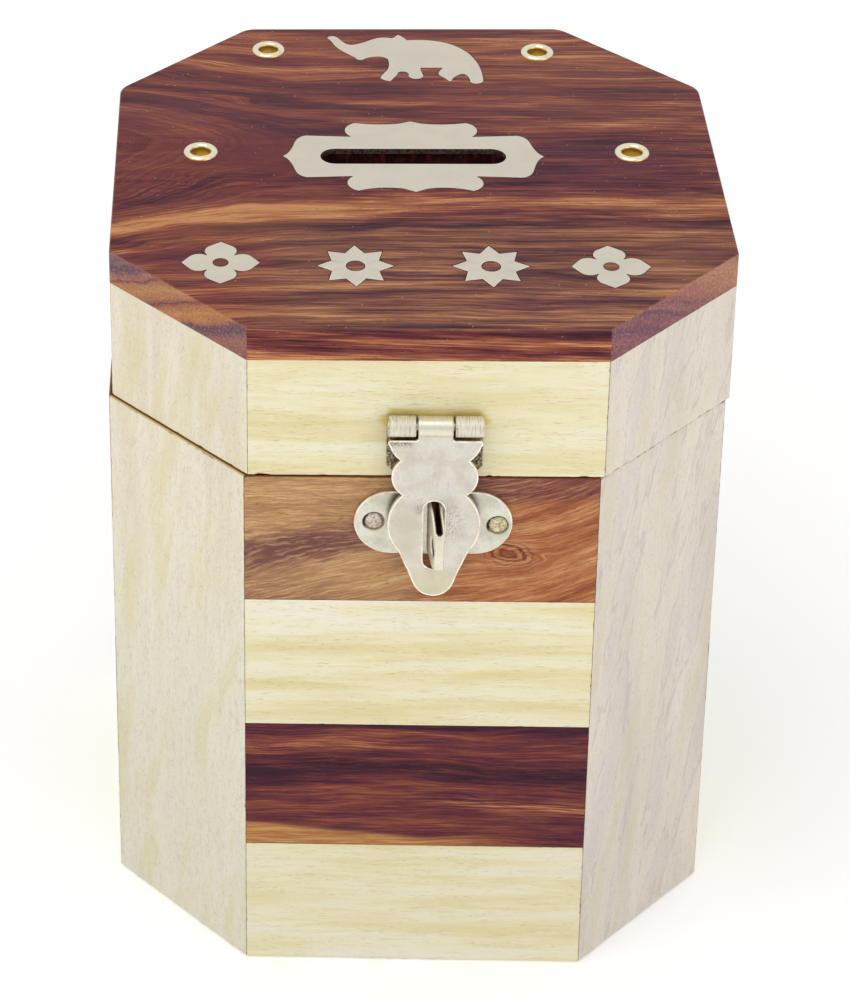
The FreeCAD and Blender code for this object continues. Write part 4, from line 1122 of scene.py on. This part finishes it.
def painted_highlight_rim(node, edge, width, proud, below):
    """A thin bright band along the outline of a sheet's front face and of its slot, up to a height: a
    painted highlight on a ribbon standing just proud of the sheet."""
    work = bmesh.new()
    work.from_mesh(frame["nodes"][node].data)
    bmesh.ops.remove_doubles(work, verts=work.verts, dist=0.002 * MM)
    work.normal_update()
    sides, fronts, pairs = {}, {}, []
    for line in work.edges:
        front = [f for f in line.link_faces if f.normal.y < -0.9]
        side = [f for f in line.link_faces if abs(f.normal.y) < 0.35]
        if front and side and max(v.co.z for v in line.verts) < below:
            pairs.append([v.index for v in line.verts])
            for v in line.verts:
                sides.setdefault(v.index, []).append(side[0].normal.copy())
                fronts.setdefault(v.index, []).append(front[0].normal.copy())
    work.verts.ensure_lookup_table()
    verts, place = [], {}
    for index, normals in sides.items():
        outwards = sum(normals, Vector()).normalized()
        forwards = sum(fronts[index], Vector()).normalized()
        corner = work.verts[index].co
        place[index] = len(verts)
        verts.append(corner - outwards * width + forwards * proud)
        verts.append(corner + (outwards + forwards) * proud)
        verts.append(corner - forwards * width + outwards * proud)
    faces = []
    for a, b in pairs:
        a, b = place[a], place[b]
        faces += [(a, b, b + 1, a + 1), (a + 1, b + 1, b + 2, a + 2)]
    work.free()
    rim = new_object(node + "_rim", [tuple(v) for v in verts], faces, frame["nodes"][node]["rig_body"])
    shade(rim.data, 60)
    dress(rim, edge)


# ---------------------------------------------------------------- floor, light and camera

def aim(obj, target):
    obj.rotation_mode = "QUATERNION"
    obj.rotation_quaternion = (Vector(target) - obj.location).to_track_quat("-Z", "Y")


def area_light(name, place, target, size, power, colour=(1.0, 1.0, 1.0)):
    light = bpy.data.lights.new(name, "AREA")
    light.shape = "RECTANGLE"
    light.size, light.size_y = size
    light.energy = power
    light.color = colour
    obj = bpy.data.objects.new(name, light)
    obj.location = place
    aim(obj, target)
    bpy.context.scene.collection.objects.link(obj)


def studio():
    """White sweep of floor, soft light from above and from both sides, and a white surround."""
    mesh = bpy.data.meshes.new("studio_floor")
    reach = 3.0                                         # metres
    corners = [(-reach, -reach, 0), (reach, -reach, 0), (reach, reach, 0), (-reach, reach, 0)]
    mesh.from_pydata(corners, [], [(0, 1, 2, 3)])
    floor = bpy.data.objects.new("studio_floor", mesh)
    bpy.context.scene.collection.objects.link(floor)

    t = Tree("studio_white")
    tone = t.noise(t.position(), 0.01, 2.0, 0.5)
    white = t.mix(tone, (250, 250, 250), (253, 253, 253))
    distance = t.new("VectorMath", [t.position()], "Value", operation="LENGTH")
    fade = t.remap(distance, 350.0, 1100.0) * t.new("LightPath", output="Is Camera Ray")
    look = t.finish(Base_Color=white, Roughness=0.9, Emission_Color=white,
                    Emission_Strength=fade * 0.8 + 0.18)
    floor.data.materials.append(look)

    world = bpy.data.worlds.new("studio_surround")
    world.use_nodes = True
    surround = world.node_tree.nodes["Background"]
    surround.inputs["Color"].default_value = (1.0, 1.0, 1.0, 1.0)
    strength = world.node_tree.nodes.new("ShaderNodeMapRange")
    seen = world.node_tree.nodes.new("ShaderNodeLightPath").outputs["Is Camera Ray"]
    world.node_tree.links.new(seen, strength.inputs["Value"])
    strength.inputs["To Min"].default_value = 0.75      # as light
    strength.inputs["To Max"].default_value = 1.0       # as background
    world.node_tree.links.new(strength.outputs["Result"], surround.inputs["Strength"])
    bpy.context.scene.world = world

    middle = (0.0, 0.0, 0.06)
    area_light("light_above", (-0.25, -0.35, 0.9), middle, (0.8, 0.8), 2.1)
    area_light("light_left", (-0.9, -0.5, 0.4), middle, (0.6, 0.6), 0.3)
    area_light("light_right", (0.75, -0.75, 0.35), middle, (0.7, 0.5), 1.0)


def shift_on_tripod(data, path, shift, camera, tripod):
    """Shifts the lens as long as the camera stands on its tripod, and centres it anywhere else."""
    driver = data.driver_add(path).driver
    distance = driver.variables.new()
    distance.name = "distance"
    distance.type = "LOC_DIFF"
    distance.targets[0].id = camera
    distance.targets[1].id = tripod
    driver.expression = f"{shift} if distance < 0.001 else 0.0"


CAMERA_PLACE = (-0.02611, -0.49665, 0.41930)
CAMERA_YAW, CAMERA_PITCH, CAMERA_ROLL = 0.0713, 0.4361, -0.0340  # to the left, down, anticlockwise
FOCAL_LENGTH = 121.3  # on a sensor 36 wide
SHIFT_X, SHIFT_Y = 0.3879, -0.6431


def camera():
    """Looks down on the front, from a little to the left, through a shifted lens."""
    data = bpy.data.cameras.new("camera")
    data.sensor_width = 36.0
    data.lens = FOCAL_LENGTH
    data.clip_start, data.clip_end = 0.05, 20.0
    obj = bpy.data.objects.new("camera", data)
    turn = Matrix.Rotation(CAMERA_YAW, 3, "Z") @ Matrix.Rotation(-CAMERA_PITCH, 3, "X")
    right, forward, up = turn @ Vector((1, 0, 0)), turn @ Vector((0, 1, 0)), turn @ Vector((0, 0, 1))
    cos, sin = math.cos(CAMERA_ROLL), math.sin(CAMERA_ROLL)
    right, up = right * cos + up * sin, up * cos - right * sin
    axes = Matrix((right, up, -forward)).transposed()
    obj.matrix_world = Matrix.Translation(CAMERA_PLACE) @ axes.to_4x4()
    tripod = bpy.data.objects.new("tripod", None)
    tripod.location = obj.location
    for item in (obj, tripod):
        bpy.context.scene.collection.objects.link(item)
    shift_on_tripod(data, "shift_x", SHIFT_X, obj, tripod)
    shift_on_tripod(data, "shift_y", SHIFT_Y, obj, tripod)
    bpy.context.scene.camera = obj


boards = make_boards()
dress_boards(boards)
ornaments, steel = dress_cad()
hammered_nails("staple_nails", steel)

paste = filler_paste()
for number, name in enumerate(["slot_plate", "elephant_inlay"] + ornaments):
    dress(filler(name, 3.1 + number, 0.10 * MM, 0.16 * MM), paste)

studio()
camera()
bpy.context.scene.view_settings.view_transform = "Standard"
